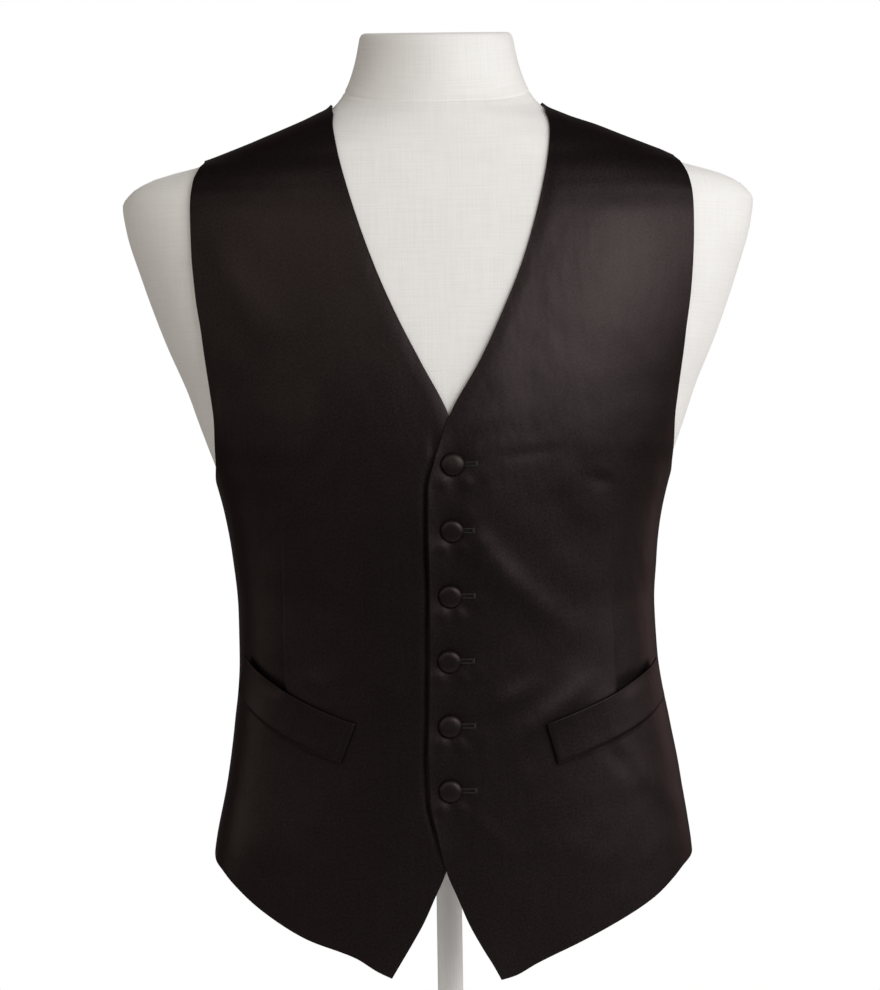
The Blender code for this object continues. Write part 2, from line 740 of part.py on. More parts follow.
def add_welt(piece, side, collection):
    """A pocket welt, laid on its front and standing open a little along the top."""
    length, slope, lean, sag, corner_distance, corner_height = WELT_CUTS[piece]

    def place(column, row):
        along, up = column / WELT_COLUMNS, row / WELT_ROWS
        run, rise = along * length, up * WELT_HEIGHT
        distance = corner_distance + run * math.cos(slope) - rise * math.sin(lean)
        height = corner_height + run * math.sin(slope) + rise * math.cos(lean)
        height -= 4 * sag * along * (1 - along)
        angle, height = rolled_round(np.stack((distance, height), -1)).T
        mouth = WELT_MOUTH * up**2 * np.sin(math.pi * along) ** 0.5
        out = CLOTH_WALL + SEAM_GAP + mouth
        return cloth_point(piece, side, angle, height, out, over_dart=True)

    return add_sheet("pocket_welt_" + piece, WELT_ROWS, WELT_COLUMNS, place, collection)


def add_button(number, collection):
    """A covered button on the left front, counted from the top."""
    height = BUTTON_TOP_HEIGHT - (number - 1) * BUTTON_PITCH
    angle = angle_of(closure_at(height) + BUTTON_OFFSET, height)
    seat = cloth_point("left", 1, np.array(angle), height, np.array(CLOTH_WALL + SEAM_GAP))
    out = Vector(figure_normal(np.array(angle), height))
    made = add_turned(
        f"button_{number}", BUTTON_OUTLINE, BUTTON_STEPS, collection, "button_satin", SATIN
    )
    made.location = Vector(seat)
    made.rotation_euler = out.to_track_quat("Z", "Y").to_euler()
    return made


def form_levels():
    """The form's rings from the bottom up: height, and the share of the full section's width."""
    bottom = [(FORM_BOTTOM + rise, share) for rise, share in FORM_BOTTOM_EDGE]
    body = np.linspace(*FORM_BODY_RINGS)
    shoulders = np.linspace(*FORM_SHOULDER_RINGS)
    full = [(height, 1.0) for height in (*body, *shoulders, *FORM_NECK_RINGS)]
    top = [(FORM_TOP - drop, share) for drop, share in FORM_TOP_EDGE]
    return bottom + full + top


def add_dress_form(collection):
    """The torso and neck: the rings of a sphere, moved to the figure's sections."""
    levels = form_levels()
    rings = len(levels) - 1
    bm = bmesh.new()
    bmesh.ops.create_uvsphere(bm, u_segments=FORM_SEGMENTS, v_segments=rings, radius=1)
    for vert in bm.verts:
        ring = int(round((1 - math.acos(max(-1, min(1, vert.co.z))) / math.pi) * rings))
        height, drawn_in = levels[ring]
        angle = np.array(math.atan2(vert.co.x * FORM_CROWDING, -vert.co.y))
        level = np.array((0.0, 0.0, height))
        vert.co = swayed(level + (figure_point(angle, height) - level) * drawn_in)
    return add_object("dress_form", bm, collection, "form_linen", LINEN)


def main():
    for obj in list(bpy.data.objects):
        bpy.data.objects.remove(obj)
    collection = bpy.data.collections.new("suit_waistcoat")
    bpy.context.scene.collection.children.link(collection)

    add_turned("stand_base", BASE_OUTLINE, STAND_STEPS, collection, "stand_steel", WHITE_STEEL)
    add_turned("stand_pole", POLE_OUTLINE, STAND_STEPS, collection, "stand_steel", WHITE_STEEL)
    add_dress_form(collection)
    for piece, side in (("left", 1), ("right", -1)):
        add_front(piece, side, collection)
        add_back(piece, side, collection)
        add_welt(piece, side, collection)
    for number in range(1, BUTTON_COUNT + 1):
        add_button(number, collection)


main()
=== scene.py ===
from math import atan2, cos, hypot, pi, radians, sin, tan

import bmesh
import bpy
import numpy as np
from mathutils import Matrix, Vector


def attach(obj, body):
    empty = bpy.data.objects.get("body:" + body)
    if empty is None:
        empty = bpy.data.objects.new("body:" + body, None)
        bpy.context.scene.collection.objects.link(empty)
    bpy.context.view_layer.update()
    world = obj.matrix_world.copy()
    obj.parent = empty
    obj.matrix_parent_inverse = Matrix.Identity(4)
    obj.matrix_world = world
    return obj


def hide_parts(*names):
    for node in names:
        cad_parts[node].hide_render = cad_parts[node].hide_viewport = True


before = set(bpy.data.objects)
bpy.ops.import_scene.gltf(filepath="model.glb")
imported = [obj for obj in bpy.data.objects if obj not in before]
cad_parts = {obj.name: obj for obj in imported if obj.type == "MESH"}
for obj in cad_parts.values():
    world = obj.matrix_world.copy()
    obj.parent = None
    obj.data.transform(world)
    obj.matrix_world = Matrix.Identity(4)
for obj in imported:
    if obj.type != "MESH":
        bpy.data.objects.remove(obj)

mm = 0.001
scene = bpy.context.scene
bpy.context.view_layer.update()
print("frame loaded")

# The figure under the cloth. A place on it is an angle, round from the centre front, and a height.
figure = {
    # height, half width, depth in front and depth behind, in mm, squareness of the section
    "sections": (
        (100, 190, 91.8, 112, 2.4), (200, 184, 95.2, 108, 2.45), (250, 174.5, 97.5, 102, 2.45),
        (300, 166.2, 100.4, 95, 2.45), (350, 159.8, 104.4, 88.5, 2.42), (390, 158.8, 108.6, 86, 2.42),
        (430, 162.5, 113.4, 87.5, 2.44), (470, 169.5, 118.4, 92.5, 2.46), (500, 177.6, 121.1, 97, 2.48),
        (520, 184.9, 122.1, 100, 2.5), (540, 192.1, 122.4, 102.5, 2.5), (560, 199, 122.1, 104.5, 2.5),
        (600, 216, 119.4, 107, 2.5), (650, 234, 113, 108, 2.48), (690, 246, 105.5, 106, 2.42),
        (708, 248.5, 100.8, 103, 2.3), (718.5, 241.5, 97.4, 100.8, 2.26), (728.5, 223, 94, 98.2, 2.26),
        (736.2, 193, 91, 95.5, 2.28), (747, 162.5, 88.5, 93, 2.3), (761.5, 127, 82.5, 87, 2.2),
        (772, 103, 78, 82, 2.15), (783.5, 83.8, 73.5, 76.5, 2.1), (795, 74, 69, 70.5, 2.05),
        (820, 64.5, 64, 60.5, 2), (845, 59.5, 63.5, 56, 2),
    ),
    # how far the cloth stands off it, all in mm: height, in front, at the side, behind
    "ease": (
        (100, 1.5, 2.5, 3), (200, 2.2, 2.4, 4), (300, 3, 2.2, 5), (390, 3.4, 2.2, 6.5),
        (470, 3.2, 2, 5), (530, 2.4, 2.2, 3.4), (600, 1.6, 1.8, 2.6), (680, 1.3, 1.6, 2.6),
        (720, 1.7, 1.8, 2.8), (760, 1.6, 1.7, 3), (785, 1.3, 1.7, 3.2), (850, 1.3, 1.7, 3.2),
    ),
    "neckTilt": radians(8.7),
    "neckTiltHeights": (0.765, 0.800),
    "hipSway": 4 * mm,
    "hipSwayHeights": (0.400, 0.250),
    # its left side is a little fuller at the hip, and its left shoulder a little higher
    "leftHip": 2.8 * mm,
    "leftHipHeights": ((0.200, 0.270), (0.470, 0.360)),
    "leftHipAcross": (0.060, 0.155),
    "leftShoulder": 2.4 * mm,
    "leftShoulderHeights": (0.660, 0.725),
    "leftShoulderAcross": ((0.090, 0.130), (0.195, 0.170)),
}


def ramp(value, start, end):  # 0 before start, 1 after end, smooth between
    share = np.clip((value - start) / (end - start), 0.0, 1.0)
    return share * share * (3.0 - 2.0 * share)


def mixed(first, second, share):
    return (1 - share) * first + share * second


def between(value, rising, falling):  # 1 between two ramps
    return ramp(value, *rising) * ramp(-value, -falling[0], -falling[1])


def bell(off, halfWidth):  # 1 in the middle, fading to both sides
    return np.exp(-((off / halfWidth) ** 2))


def slopes(at, values):  # flat where the line turns, so that it never overshoots
    step = np.diff(at)
    rise = np.diff(values) / step
    found = np.zeros_like(values, dtype=float)
    found[0], found[-1] = rise[0], rise[-1]
    for k in range(1, len(at) - 1):
        before, after = rise[k - 1], rise[k]
        if before * after > 0:
            first, second = 2 * step[k] + step[k - 1], step[k] + 2 * step[k - 1]
            found[k] = (first + second) / (first / before + second / after)
    return found


def smoothLine(at, values):  # a function through the points, with no corners
    at, values = np.asarray(at, float), np.asarray(values, float)
    slope = slopes(at, values)

    def line(where):
        where = np.clip(where, at[0], at[-1])
        k = np.clip(np.searchsorted(at, where, side="right") - 1, 0, len(at) - 2)
        step = at[k + 1] - at[k]
        s = (where - at[k]) / step
        return (
            values[k] * (1 + 2 * s) * (1 - s) ** 2
            + slope[k] * step * s * (1 - s) ** 2
            + values[k + 1] * s * s * (3 - 2 * s)
            + slope[k + 1] * step * s * s * (s - 1)
        )

    return line


def linesOf(table):  # a smooth line over the first column for each of the others
    return [smoothLine(table[:, 0], table[:, column]) for column in range(1, table.shape[1])]


halfWidthAt, frontDepthAt, backDepthAt, squarenessAt = linesOf(
    np.array(figure["sections"]) * (mm, mm, mm, mm, 1)
)
easeInFront, easeAtSide, easeBehind = linesOf(np.array(figure["ease"]) * mm)


def figurePoint(angle, height):
    angle, height = np.broadcast_arrays(np.asarray(angle, float), height)
    depth = np.where(np.cos(angle) >= 0, frontDepthAt(height), backDepthAt(height))
    power = squarenessAt(height)
    across = np.abs(np.sin(angle)) / halfWidthAt(height)
    along = np.abs(np.cos(angle)) / depth
    radius = (across**power + along**power) ** (-1 / power)
    x, y = radius * np.sin(angle), -radius * np.cos(angle)
    z = height + y * tan(figure["neckTilt"]) * ramp(height, *figure["neckTiltHeights"])
    return np.stack((x, y, z), -1)


def figureNormal(angle, height):
    turn, rise = 0.002, 0.0004
    roundIt = figurePoint(angle + turn, height) - figurePoint(angle - turn, height)
    up = figurePoint(angle, height + rise) - figurePoint(angle, height - rise)
    out = np.cross(roundIt, up)
    return out / np.linalg.norm(out, axis=-1, keepdims=True)


def swayed(point):  # the hips stand a little to the left, and the left side is fuller
    x, z = point[..., 0], point[..., 2]
    start, full = figure["hipSwayHeights"]
    sway = figure["hipSway"] * ramp(-z, -start, -full)
    hip = ramp(x, *figure["leftHipAcross"]) * between(z, *figure["leftHipHeights"])
    shoulder = ramp(z, *figure["leftShoulderHeights"]) * between(x, *figure["leftShoulderAcross"])
    sway, rise = sway + figure["leftHip"] * hip, figure["leftShoulder"] * shoulder
    return point + np.stack((sway, 0 * sway, rise), -1)


def easeAt(angle, height):
    front = np.clip(np.cos(angle), 0, 1) ** 2
    behind = np.clip(-np.cos(angle), 0, 1) ** 2
    aside = 1 - front - behind
    return front * easeInFront(height) + aside * easeAtSide(height) + behind * easeBehind(height)


def runAlong(points):  # distances along rows of points, from the first of each row
    steps = np.linalg.norm(np.diff(points, axis=-2), axis=-1)
    return np.concatenate((np.zeros((*steps.shape[:-1], 1)), np.cumsum(steps, axis=-1)), axis=-1)


# Distances round the figure, on a fine table of heights, to lay flat cuts on it.
turnAngles = np.linspace(0, pi, 181)
turnHeights = np.linspace(0.09, 0.85, 761)
turnRuns = runAlong(figurePoint(turnAngles[None, :], turnHeights[:, None]))


def runRound(height):
    place = (height - turnHeights[0]) / (turnHeights[1] - turnHeights[0])
    place = np.clip(place, 0, len(turnHeights) - 1.001)
    low, share = int(place), place - int(place)
    return mixed(turnRuns[low], turnRuns[low + 1], share)


def flattened(places, behind=False):  # (angle, height) to (distance round from the centre, height)
    flat = []
    for angle, height in places:
        run = runRound(height)
        distance = np.sign(angle) * np.interp(abs(angle), turnAngles, run)
        flat.append((run[-1] - distance if behind else distance, height))
    return flat


def rolledRound(flat, behind=False):  # and back again
    places = np.array(flat, float)
    for place in places.reshape(-1, 2):
        run = runRound(place[1])
        distance = run[-1] - place[0] if behind else place[0]
        place[0] = np.sign(distance) * np.interp(abs(distance), run, turnAngles)
    return places


# The cloth, and how finely its pieces are divided.
cloth = {
    "wall": 1.5 * mm,
    "seamGap": 0.04 * mm,
    "lapGap": 0.4 * mm,
    "edgeLines": (0.0, 1.1 * mm, 2.6 * mm, 4.6 * mm, 7.5 * mm),  # extra lines along every edge
    "edgeRound": 0.5 * mm,
    "wobble": 0.06 * mm,
    "wobbleFrom": 0.05,  # it fades in up to here, past the middle of the fronts
    "foldSteps": 15,
    "foldFade": 1.6,
    "shoulderAngle": radians(94),
    "sideAngle": radians(96),
    "neckPointHeight": 0.7855,
    "shoulderEndHeight": 0.7402,
    "sideHemHeight": 0.2075,
    "hemTilt": 5.5 * mm,
    "underarmHeight": 0.4860,
    "seamPoints": 25,
}


def foldLift(folds, distance, height):
    # Each fold runs from a start through a bend to an end, and fades at both. A skew makes one
    # flank steeper than the other.
    lift = np.zeros(np.broadcast(distance, height).shape)
    place = np.stack(np.broadcast_arrays(distance, height), -1)
    for fold in folds:
        start, bend, end = np.reshape(fold[:6], (3, 2)) * mm
        halfWidth, rise, *skew = fold[6:]
        share = np.linspace(0, 1, cloth["foldSteps"])[:, None]
        steer = 2 * bend - (start + end) / 2
        line = mixed(mixed(start, steer, share), mixed(steer, end, share), share)
        nearest = np.full(lift.shape, 1e9)
        side, along = np.zeros(lift.shape), np.zeros(lift.shape)
        for k, (a, b) in enumerate(zip(line, line[1:])):
            run = b - a
            s = np.clip(((place - a) @ run) / (run @ run), 0, 1)
            off = place - a - s[..., None] * run
            gap = np.hypot(off[..., 0], off[..., 1])
            closer = gap < nearest
            nearest = np.where(closer, gap, nearest)
            side = np.where(closer, np.sign(off[..., 0] * run[1] - off[..., 1] * run[0]), side)
            along = np.where(closer, (k + s) / (len(line) - 1), along)
        width = halfWidth * mm * (1 + sum(skew) * side)
        lift += rise * mm * np.sin(pi * along) ** cloth["foldFade"] * bell(nearest, width)
    return lift


def wobbleAt(distance, height, seed):  # cloth never lies quite even
    return cloth["wobble"] * (
        np.sin(distance * 190 + 3 * np.sin(height * 41 + seed)) * np.sin(height * 73 + 1.3 * seed)
        + 0.6 * np.sin(distance * 87 + height * 130 + 0.7 * seed)
        + 0.4 * np.sin(height * 205 - distance * 66 + seed)
    )


def sideHemHeight(side):
    return cloth["sideHemHeight"] - side * cloth["hemTilt"]


def seams(side, gapSide):  # the side seam from its foot up, the shoulder seam from the neck out
    def seam(angle, start, end):
        return [
            (angle + gapSide * cloth["seamGap"] / 2 / halfWidthAt(height), height)
            for height in np.linspace(start, end, cloth["seamPoints"])
        ]

    return (
        seam(cloth["sideAngle"], sideHemHeight(side), cloth["underarmHeight"]),
        seam(cloth["shoulderAngle"], cloth["neckPointHeight"], cloth["shoulderEndHeight"]),
    )


def turned(table):  # degrees round the figure to angles
    return [(radians(degrees), height) for degrees, height in table]


def outline(*stretches):  # each stretch is (its last share, its points in the flat cut)
    made, start = [], 0.0
    for end, points in stretches:
        points = np.array(points, float)
        run = runAlong(points)
        at = start + (end - start) * run / run[-1]
        made.append((start, end, smoothLine(at, points[:, 0]), smoothLine(at, points[:, 1])))
        start = end

    def curve(share):
        share = np.asarray(share, float)
        found = np.zeros(share.shape + (2,))
        for begin, finish, distance, height in made:
            inside = (share >= begin) & (share <= finish)
            found[inside] = np.stack((distance(share[inside]), height(share[inside])), -1)
        return found

    return curve


def patch(inner, outer, bottom, top):  # fills a piece's four edges
    def inside(across, up):
        across, up = np.broadcast_arrays(np.asarray(across, float), np.asarray(up, float))
        u, v = across[..., None], up[..., None]
        low, high = np.zeros(up.shape), np.ones(up.shape)
        sides = mixed(inner(up), outer(up), u) + mixed(bottom(across), top(across), v)
        corners = (mixed(inner(end), outer(end), u) for end in (low, high))
        return sides - mixed(*corners, v)

    return inside


def withEdgeLines(length, corner, below, above):
    # Shares along a piece, with a line at the corner, and more lines near both ends.
    near = np.array(cloth["edgeLines"]) / length
    first = np.linspace(near[-1], corner, below + 1)[:-1]
    second = np.linspace(corner, 1 - near[-1], above + 1)[:-1]
    return np.concatenate((near[:-1], first, second, 1 - near[::-1]))


def newGrid(rows, columns):  # with the row and the column of each vertex
    bm = bmesh.new()
    bmesh.ops.create_grid(bm, x_segments=columns, y_segments=rows, size=0.5)
    grid = (np.array([v.co[:2] for v in bm.verts]) + 0.5) * (columns, rows)
    column, row = np.rint(grid).astype(int).T
    return bm, row, column


def layOn(bm, points):
    for vert, place in zip(bm.verts, points):
        vert.co = place


def close(bm, distance):  # joins what meets, and turns the faces out
    bmesh.ops.remove_doubles(bm, verts=bm.verts, dist=distance)
    bmesh.ops.recalc_face_normals(bm, faces=bm.faces)


def addObject(name, data):
    made = bpy.data.objects.new(name, data)
    scene.collection.objects.link(made)
    return made


def addMesh(name, bm, finish, flat=None):
    mesh = bpy.data.meshes.new(name)
    bm.to_mesh(mesh)
    bm.free()
    mesh.materials.append(finish)
    mesh.shade_smooth()
    if flat is not None:
        corners = np.empty(len(mesh.loops), int)
        mesh.loops.foreach_get("vertex_index", corners)
        mesh.uv_layers.new(name="cut").data.foreach_set("uv", flat[corners].ravel())
    return addObject(name, mesh)


def addSheet(name, flat, point, finish):
    # A grid laid in place on its inside, then given its thickness outwards and a soft edge.
    # flat holds (distance round, height) for each row and column, point the places in space.
    bm, row, column = newGrid(flat.shape[0] - 1, flat.shape[1] - 1)
    layOn(bm, point[row, column])
    bm.normal_update()
    level = Vector((1, 1, 0))
    if sum(face.normal.dot(face.calc_center_median() * level) for face in bm.faces) < 0:
        bmesh.ops.reverse_faces(bm, faces=bm.faces)
    made = addMesh(name, bm, finish, flat[row, column])
    wall = made.modifiers.new("wall", "SOLIDIFY")
    wall.thickness = cloth["wall"]
    wall.offset = 1
    soft = made.modifiers.new("soft edge", "BEVEL")
    soft.width = cloth["edgeRound"]
    soft.segments = 3
    soft.limit_method = "ANGLE"
    soft.angle_limit = radians(60)
    return made


def cutArea(flat):  # of one piece, laid out flat
    a, b, c, d = flat[:-1, :-1], flat[:-1, 1:], flat[1:, 1:], flat[1:, :-1]
    first, second = c - a, d - b
    return float(np.abs(first[..., 0] * second[..., 1] - first[..., 1] * second[..., 0]).sum() / 2)


def declareSheet(made, flat, **facts):
    width, length = np.ptp(flat[..., 0]), np.ptp(flat[..., 1])
    cutArea(flat)
    print(f"{made.name}: cut {width * 1000:.0f} x {length * 1000:.0f} mm, {cutArea(flat):.4f} m2")


# Finishes. One output of a node, which sums can be written with.
class Value:
    def __init__(self, finish, socket):
        self.finish, self.socket = finish, socket

    def math(self, operation, *others):
        return self.finish.add("Math", {"operation": operation}, dict(enumerate((self, *others))))

    def __add__(self, other):
        return self.math("ADD", other)

    def __sub__(self, other):
        return self.math("SUBTRACT", other)

    def __rsub__(self, other):
        return self * -1.0 + other

    def __mul__(self, other):
        return self.math("MULTIPLY", other)

    __radd__ = __add__
    __rmul__ = __mul__


class Finish:
    def __init__(self, name, constants):
        self.material = bpy.data.materials.new(name)
        self.material.use_nodes = True
        self.tree = self.material.node_tree
        self.shader = self.tree.nodes["Principled BSDF"]
        for socket, value in constants.items():
            self.shader.inputs[socket].default_value = value

    def add(self, kind, settings, inputs, out=0):
        node = self.tree.nodes.new("ShaderNode" + kind)
        for key, value in settings.items():
            setattr(node, key, value)
        for key, value in inputs.items():
            self.join(node.inputs[key], value)
        return Value(self, node.outputs[out])

    def join(self, socket, value):
        if isinstance(value, Value):
            self.tree.links.new(value.socket, socket)
        else:
            socket.default_value = value

    def feed(self, **sockets):
        for name, value in sockets.items():
            self.join(self.shader.inputs[name.replace("_", " ")], value)
        return self.material

    def cut(self):
        return self.add("UVMap", {"uv_map": "cut"}, {})

    def place(self):
        return self.add("TexCoord", {}, {}, out="Object")

    def noise(self, where, stretch, detail=2.0, roughness=0.5):
        stretched = self.add("Mapping", {}, {"Vector": where, "Scale": (*stretch, 1.0)})
        values = {"Vector": stretched, "Scale": 1.0, "Detail": detail, "Roughness": roughness}
        return self.add("TexNoise", {}, values)

    def apart(self, where):
        split = self.add("SeparateXYZ", {}, {"Vector": where})
        return split, Value(self, split.socket.node.outputs[1])

    def between(self, share, first, second):  # two colours
        values = {0: share, 6: (*first, 1), 7: (*second, 1)}
        return self.add("Mix", {"data_type": "RGBA"}, values, out=2)

    def spread(self, value, low, high):  # low becomes 0 and high becomes 1
        return self.add("MapRange", {}, {"Value": value, "From Min": low, "From Max": high})

    def bump(self, height, depth, strength, under=None):
        values = {"Height": height, "Distance": depth, "Strength": strength}
        if under is not None:
            values["Normal"] = under
        return self.add("Bump", {}, values)


# The floats of a satin shine in their own colour, and hardly more where they are seen edge on.
satin = {
    "deep": (0.0144, 0.0110, 0.0109),
    "lit": (0.0315, 0.0245, 0.0246),
    "ownColour": 0.85,
    "edgeColour": (0.45, 0.42, 0.42),
    "gloss": 0.2,
    "roughness": 0.41,
    "threadPitch": 0.30 * mm,
    "floatLength": 1.5 * mm,
    "bump": 0.06,
    "drape": 0.60 * mm,  # how high its soft waves are
}


def satinFinish(name, deep=satin["deep"], lit=satin["lit"]):
    finish = Finish(
        name,
        {
            "Metallic": satin["ownColour"],
            "Specular IOR Level": satin["gloss"],
            "Specular Tint": (*satin["edgeColour"], 1),
        },
    )
    cut = finish.cut()
    grain = finish.noise(cut, (600, 540), 1.0, 0.5)
    streaks = finish.noise(cut, (240, 16), 3.0, 0.6)
    threads = finish.noise(cut, (2300, 90), 2.0, 0.6)
    clouds = finish.noise(cut, (16, 12), 4.0, 0.6)
    drape = finish.noise(cut, (56, 26), 2.0, 0.5)
    across, up = finish.apart(cut)
    ribs = (across * (pi / satin["threadPitch"])).math("SINE").math("ABSOLUTE")
    step = (across * (1 / satin["threadPitch"])).math("FLOOR") * 0.4
    along = (up * (1 / satin["floatLength"]) + step).math("FRACT")
    dips = (along - 0.5).math("ABSOLUTE") * 2.0
    tone = finish.spread(0.55 * grain + 0.13 * streaks + 0.24 * clouds + 0.08 * threads, 0.24, 0.76)
    height = ribs * (1.0 - 0.7 * dips) * 0.5 + 0.35 * threads + 0.2 * grain
    hand = finish.bump(drape, satin["drape"], 1.0)
    return finish.feed(
        Base_Color=finish.between(tone, deep, lit),
        Roughness=satin["roughness"] + 0.10 * (grain - 0.5) + 0.06 * (threads - 0.5),
        Normal=finish.bump(height, 0.12 * mm, satin["bump"], hand),
    )


linen = {
    "pale": (0.860, 0.862, 0.842),
    "grey": (0.750, 0.752, 0.732),
    "roughness": 0.88,
    "threadPitch": 0.62 * mm,
    "bump": 0.30,
}


def linenFinish(name):
    finish = Finish(name, {"Specular IOR Level": 0.25, "Sheen Weight": 0.55, "Sheen Roughness": 0.5})
    cut = finish.cut()
    across, up = finish.apart(cut)
    turn = pi / linen["threadPitch"]
    wave = (across * turn).math("SINE") * (up * turn).math("SINE")
    warp = finish.noise(cut, (900, 22), 3.0, 0.65)
    weft = finish.noise(cut, (22, 900), 3.0, 0.65)
    clouds = finish.noise(cut, (26, 26), 4.0, 0.6)
    height = 0.5 + 0.35 * wave + 0.5 * warp + 0.5 * weft
    tone = finish.spread(0.4 * warp + 0.4 * weft + 0.2 * clouds + 0.04 * wave, 0.28, 0.56)
    return finish.feed(
        Base_Color=finish.between(tone, linen["grey"], linen["pale"]),
        Roughness=linen["roughness"] + 0.06 * (warp - 0.5),
        Normal=finish.bump(height, 0.25 * mm, linen["bump"]),
    )


def threadFinish(name, colour):
    finish = Finish(name, {"Specular IOR Level": 0.22})
    place = finish.place()
    strands = finish.noise(place, (1500, 1500), 2.0)
    return finish.feed(
        Base_Color=finish.between(strands, colour, tuple(2.0 * c for c in colour)),
        Roughness=0.45 + 0.2 * strands,
        Normal=finish.bump(strands, 0.1 * mm, 0.3),
    )


def paintFinish(name):
    finish = Finish(name, {"Coat Weight": 0.25, "Coat Roughness": 0.15})
    place = finish.place()
    peel = finish.noise(place, (900, 900), 2.0)
    smears = finish.noise(place, (18, 18), 4.0, 0.6)
    return finish.feed(
        Base_Color=finish.between(smears, (0.95, 0.95, 0.948), (0.98, 0.98, 0.978)),
        Roughness=0.34 + 0.12 * (smears - 0.5),
        Normal=finish.bump(peel, 0.05 * mm, 0.15),
    )


satinCloth = satinFinish("brown-black satin")
satinWelt = satinFinish("welt satin")
satinButton = satinFinish("button satin", (0.0205, 0.0160, 0.0156), (0.0315, 0.0250, 0.0246))
linenCover = linenFinish("form linen")
blackThread = threadFinish("buttonhole thread", (0.010, 0.008, 0.008))
# near black: painted shadow for the shade inside each buttonhole's slit
slitShadow = threadFinish("buttonhole slit painted shadow", (0.0015, 0.0012, 0.0012))
whitePaint = paintFinish("white stand paint")
print("finishes made")


# The fronts.
fronts = {
    # inner edges from the hem point up, to the notch and then where they are buttoned: distance
    # past the centre front line and height, in mm
    "point": {
        "right": ((43.7, 111.9), (37.2, 122.4), (28.2, 136.8), (17.7, 154.8), (9.4, 172.4)),
        "left": ((42.1, 109.6), (36.4, 119.9), (27.3, 134.7), (16.9, 153.5), (9.1, 171.6)),
    },
    "buttonedEdge": (
        (0, 193), (-7.4, 222), (-13, 248.5), (-14.2, 275), (-12.8, 330), (-12.6, 390), (-15.6, 460),
        (-15.9, 483.5), (-11, 506),
    ),
    "neckline": {
        "right": (
            (-11, 506), (0, 538.8), (20.9, 579), (39.4, 615.8), (55.2, 653), (68.2, 690), (79.6, 729),
            (84.8, 758),
        ),
        "left": (
            (-11, 506), (1.5, 538.8), (25.2, 579), (43.3, 615.8), (59.4, 653), (71.6, 690), (81.8, 729),
            (85.9, 758),
        ),
    },
    # degrees round, height
    "neckTop": ((60, 0.7737), (70, 0.7799), (82, 0.7844)),
    # from under the arm up: distance from the middle and height, in mm
    "armhole": (
        (178, 505), (179, 545.5), (186.5, 600.5), (191.5, 635), (194.6, 675), (195.4, 700),
        (193.3, 720), (189.6, 728.5), (186.4, 733.3),
    ),
    "armTop": ((79, 0.7366), (87, 0.7397)),
    "underarm": ((86, 0.4910),),
    # from the hem point to the side seam: distance past the centre front and height, in mm
    "hem": {
        "right": (
            (43.7, 111.9), (54.2, 116.8), (71.3, 127.3), (109.9, 141.9), (141.4, 161.2), (164.4, 181.5),
            (172.3, 190.7), (176.7, 195.8),
        ),
        "left": (
            (42.1, 109.6), (52.7, 112.4), (70.3, 121.2), (109.9, 138.5), (141.4, 153.8), (164.4, 167.1),
            (180.2, 180.6), (188.6, 188.6),
        ),
    },
    "closureSwing": -9.9 * mm,
    "closureHeights": (0.5388, 0.1960),
    "lapLift": (22 * mm, 75 * mm),
    "dartLine": {  # distance from the middle and height, in mm
        "right": ((124, 100), (124.5, 500), (132, 780)),
        "left": ((121.5, 100), (122.5, 500), (131, 780)),
    },
    "dartLines": (0.0, 0.6 * mm, 1.5 * mm, 3.0 * mm, 5.5 * mm),  # extra lines beside it
    "dartShare": 0.6,  # how far across a row it lies, about
    "dartTip": 0.495,
    "dartFoot": 0.320,
    "dartFade": (0.297, 0.322),  # hidden under the welt
    "dartDepth": 1.9 * mm,
    "dartSwell": 1.2 * mm,
    "dartShoulder": 16 * mm,
    "dartGroove": (0.10 * mm, 0.8 * mm),  # depth and half width of its seam
    "dartSewn": (4 * mm, 12 * mm),  # the seam fades in from above the tip to below it
    "neckRoll": (0.8 * mm, 10 * mm),  # how far the turned edge rolls down, and how wide it is
    "neckRollHeights": (0.500, 0.530),
    "neckSlant": 0.9,  # how much of the way across lies square to that edge
    "lapTrough": (1.8 * mm, 3.4 * mm),  # under the lapping edge: depth, half width
    "lapTroughHeights": ((0.190, 0.235), (0.540, 0.490)),
    "lapStand": (2.0 * mm, 8 * mm),  # how far the lapping edge stands off, and over what width
    "lapStandHeights": ((0.196, 0.212), (0.540, 0.515)),
    "length": 0.72,  # about, to space the lines near its ends
    "edgeShare": 0.54,
    "seamShare": 0.5,
    "rows": (150, 112),
    "columns": (78, 30),  # inside the dart, and outside it
}
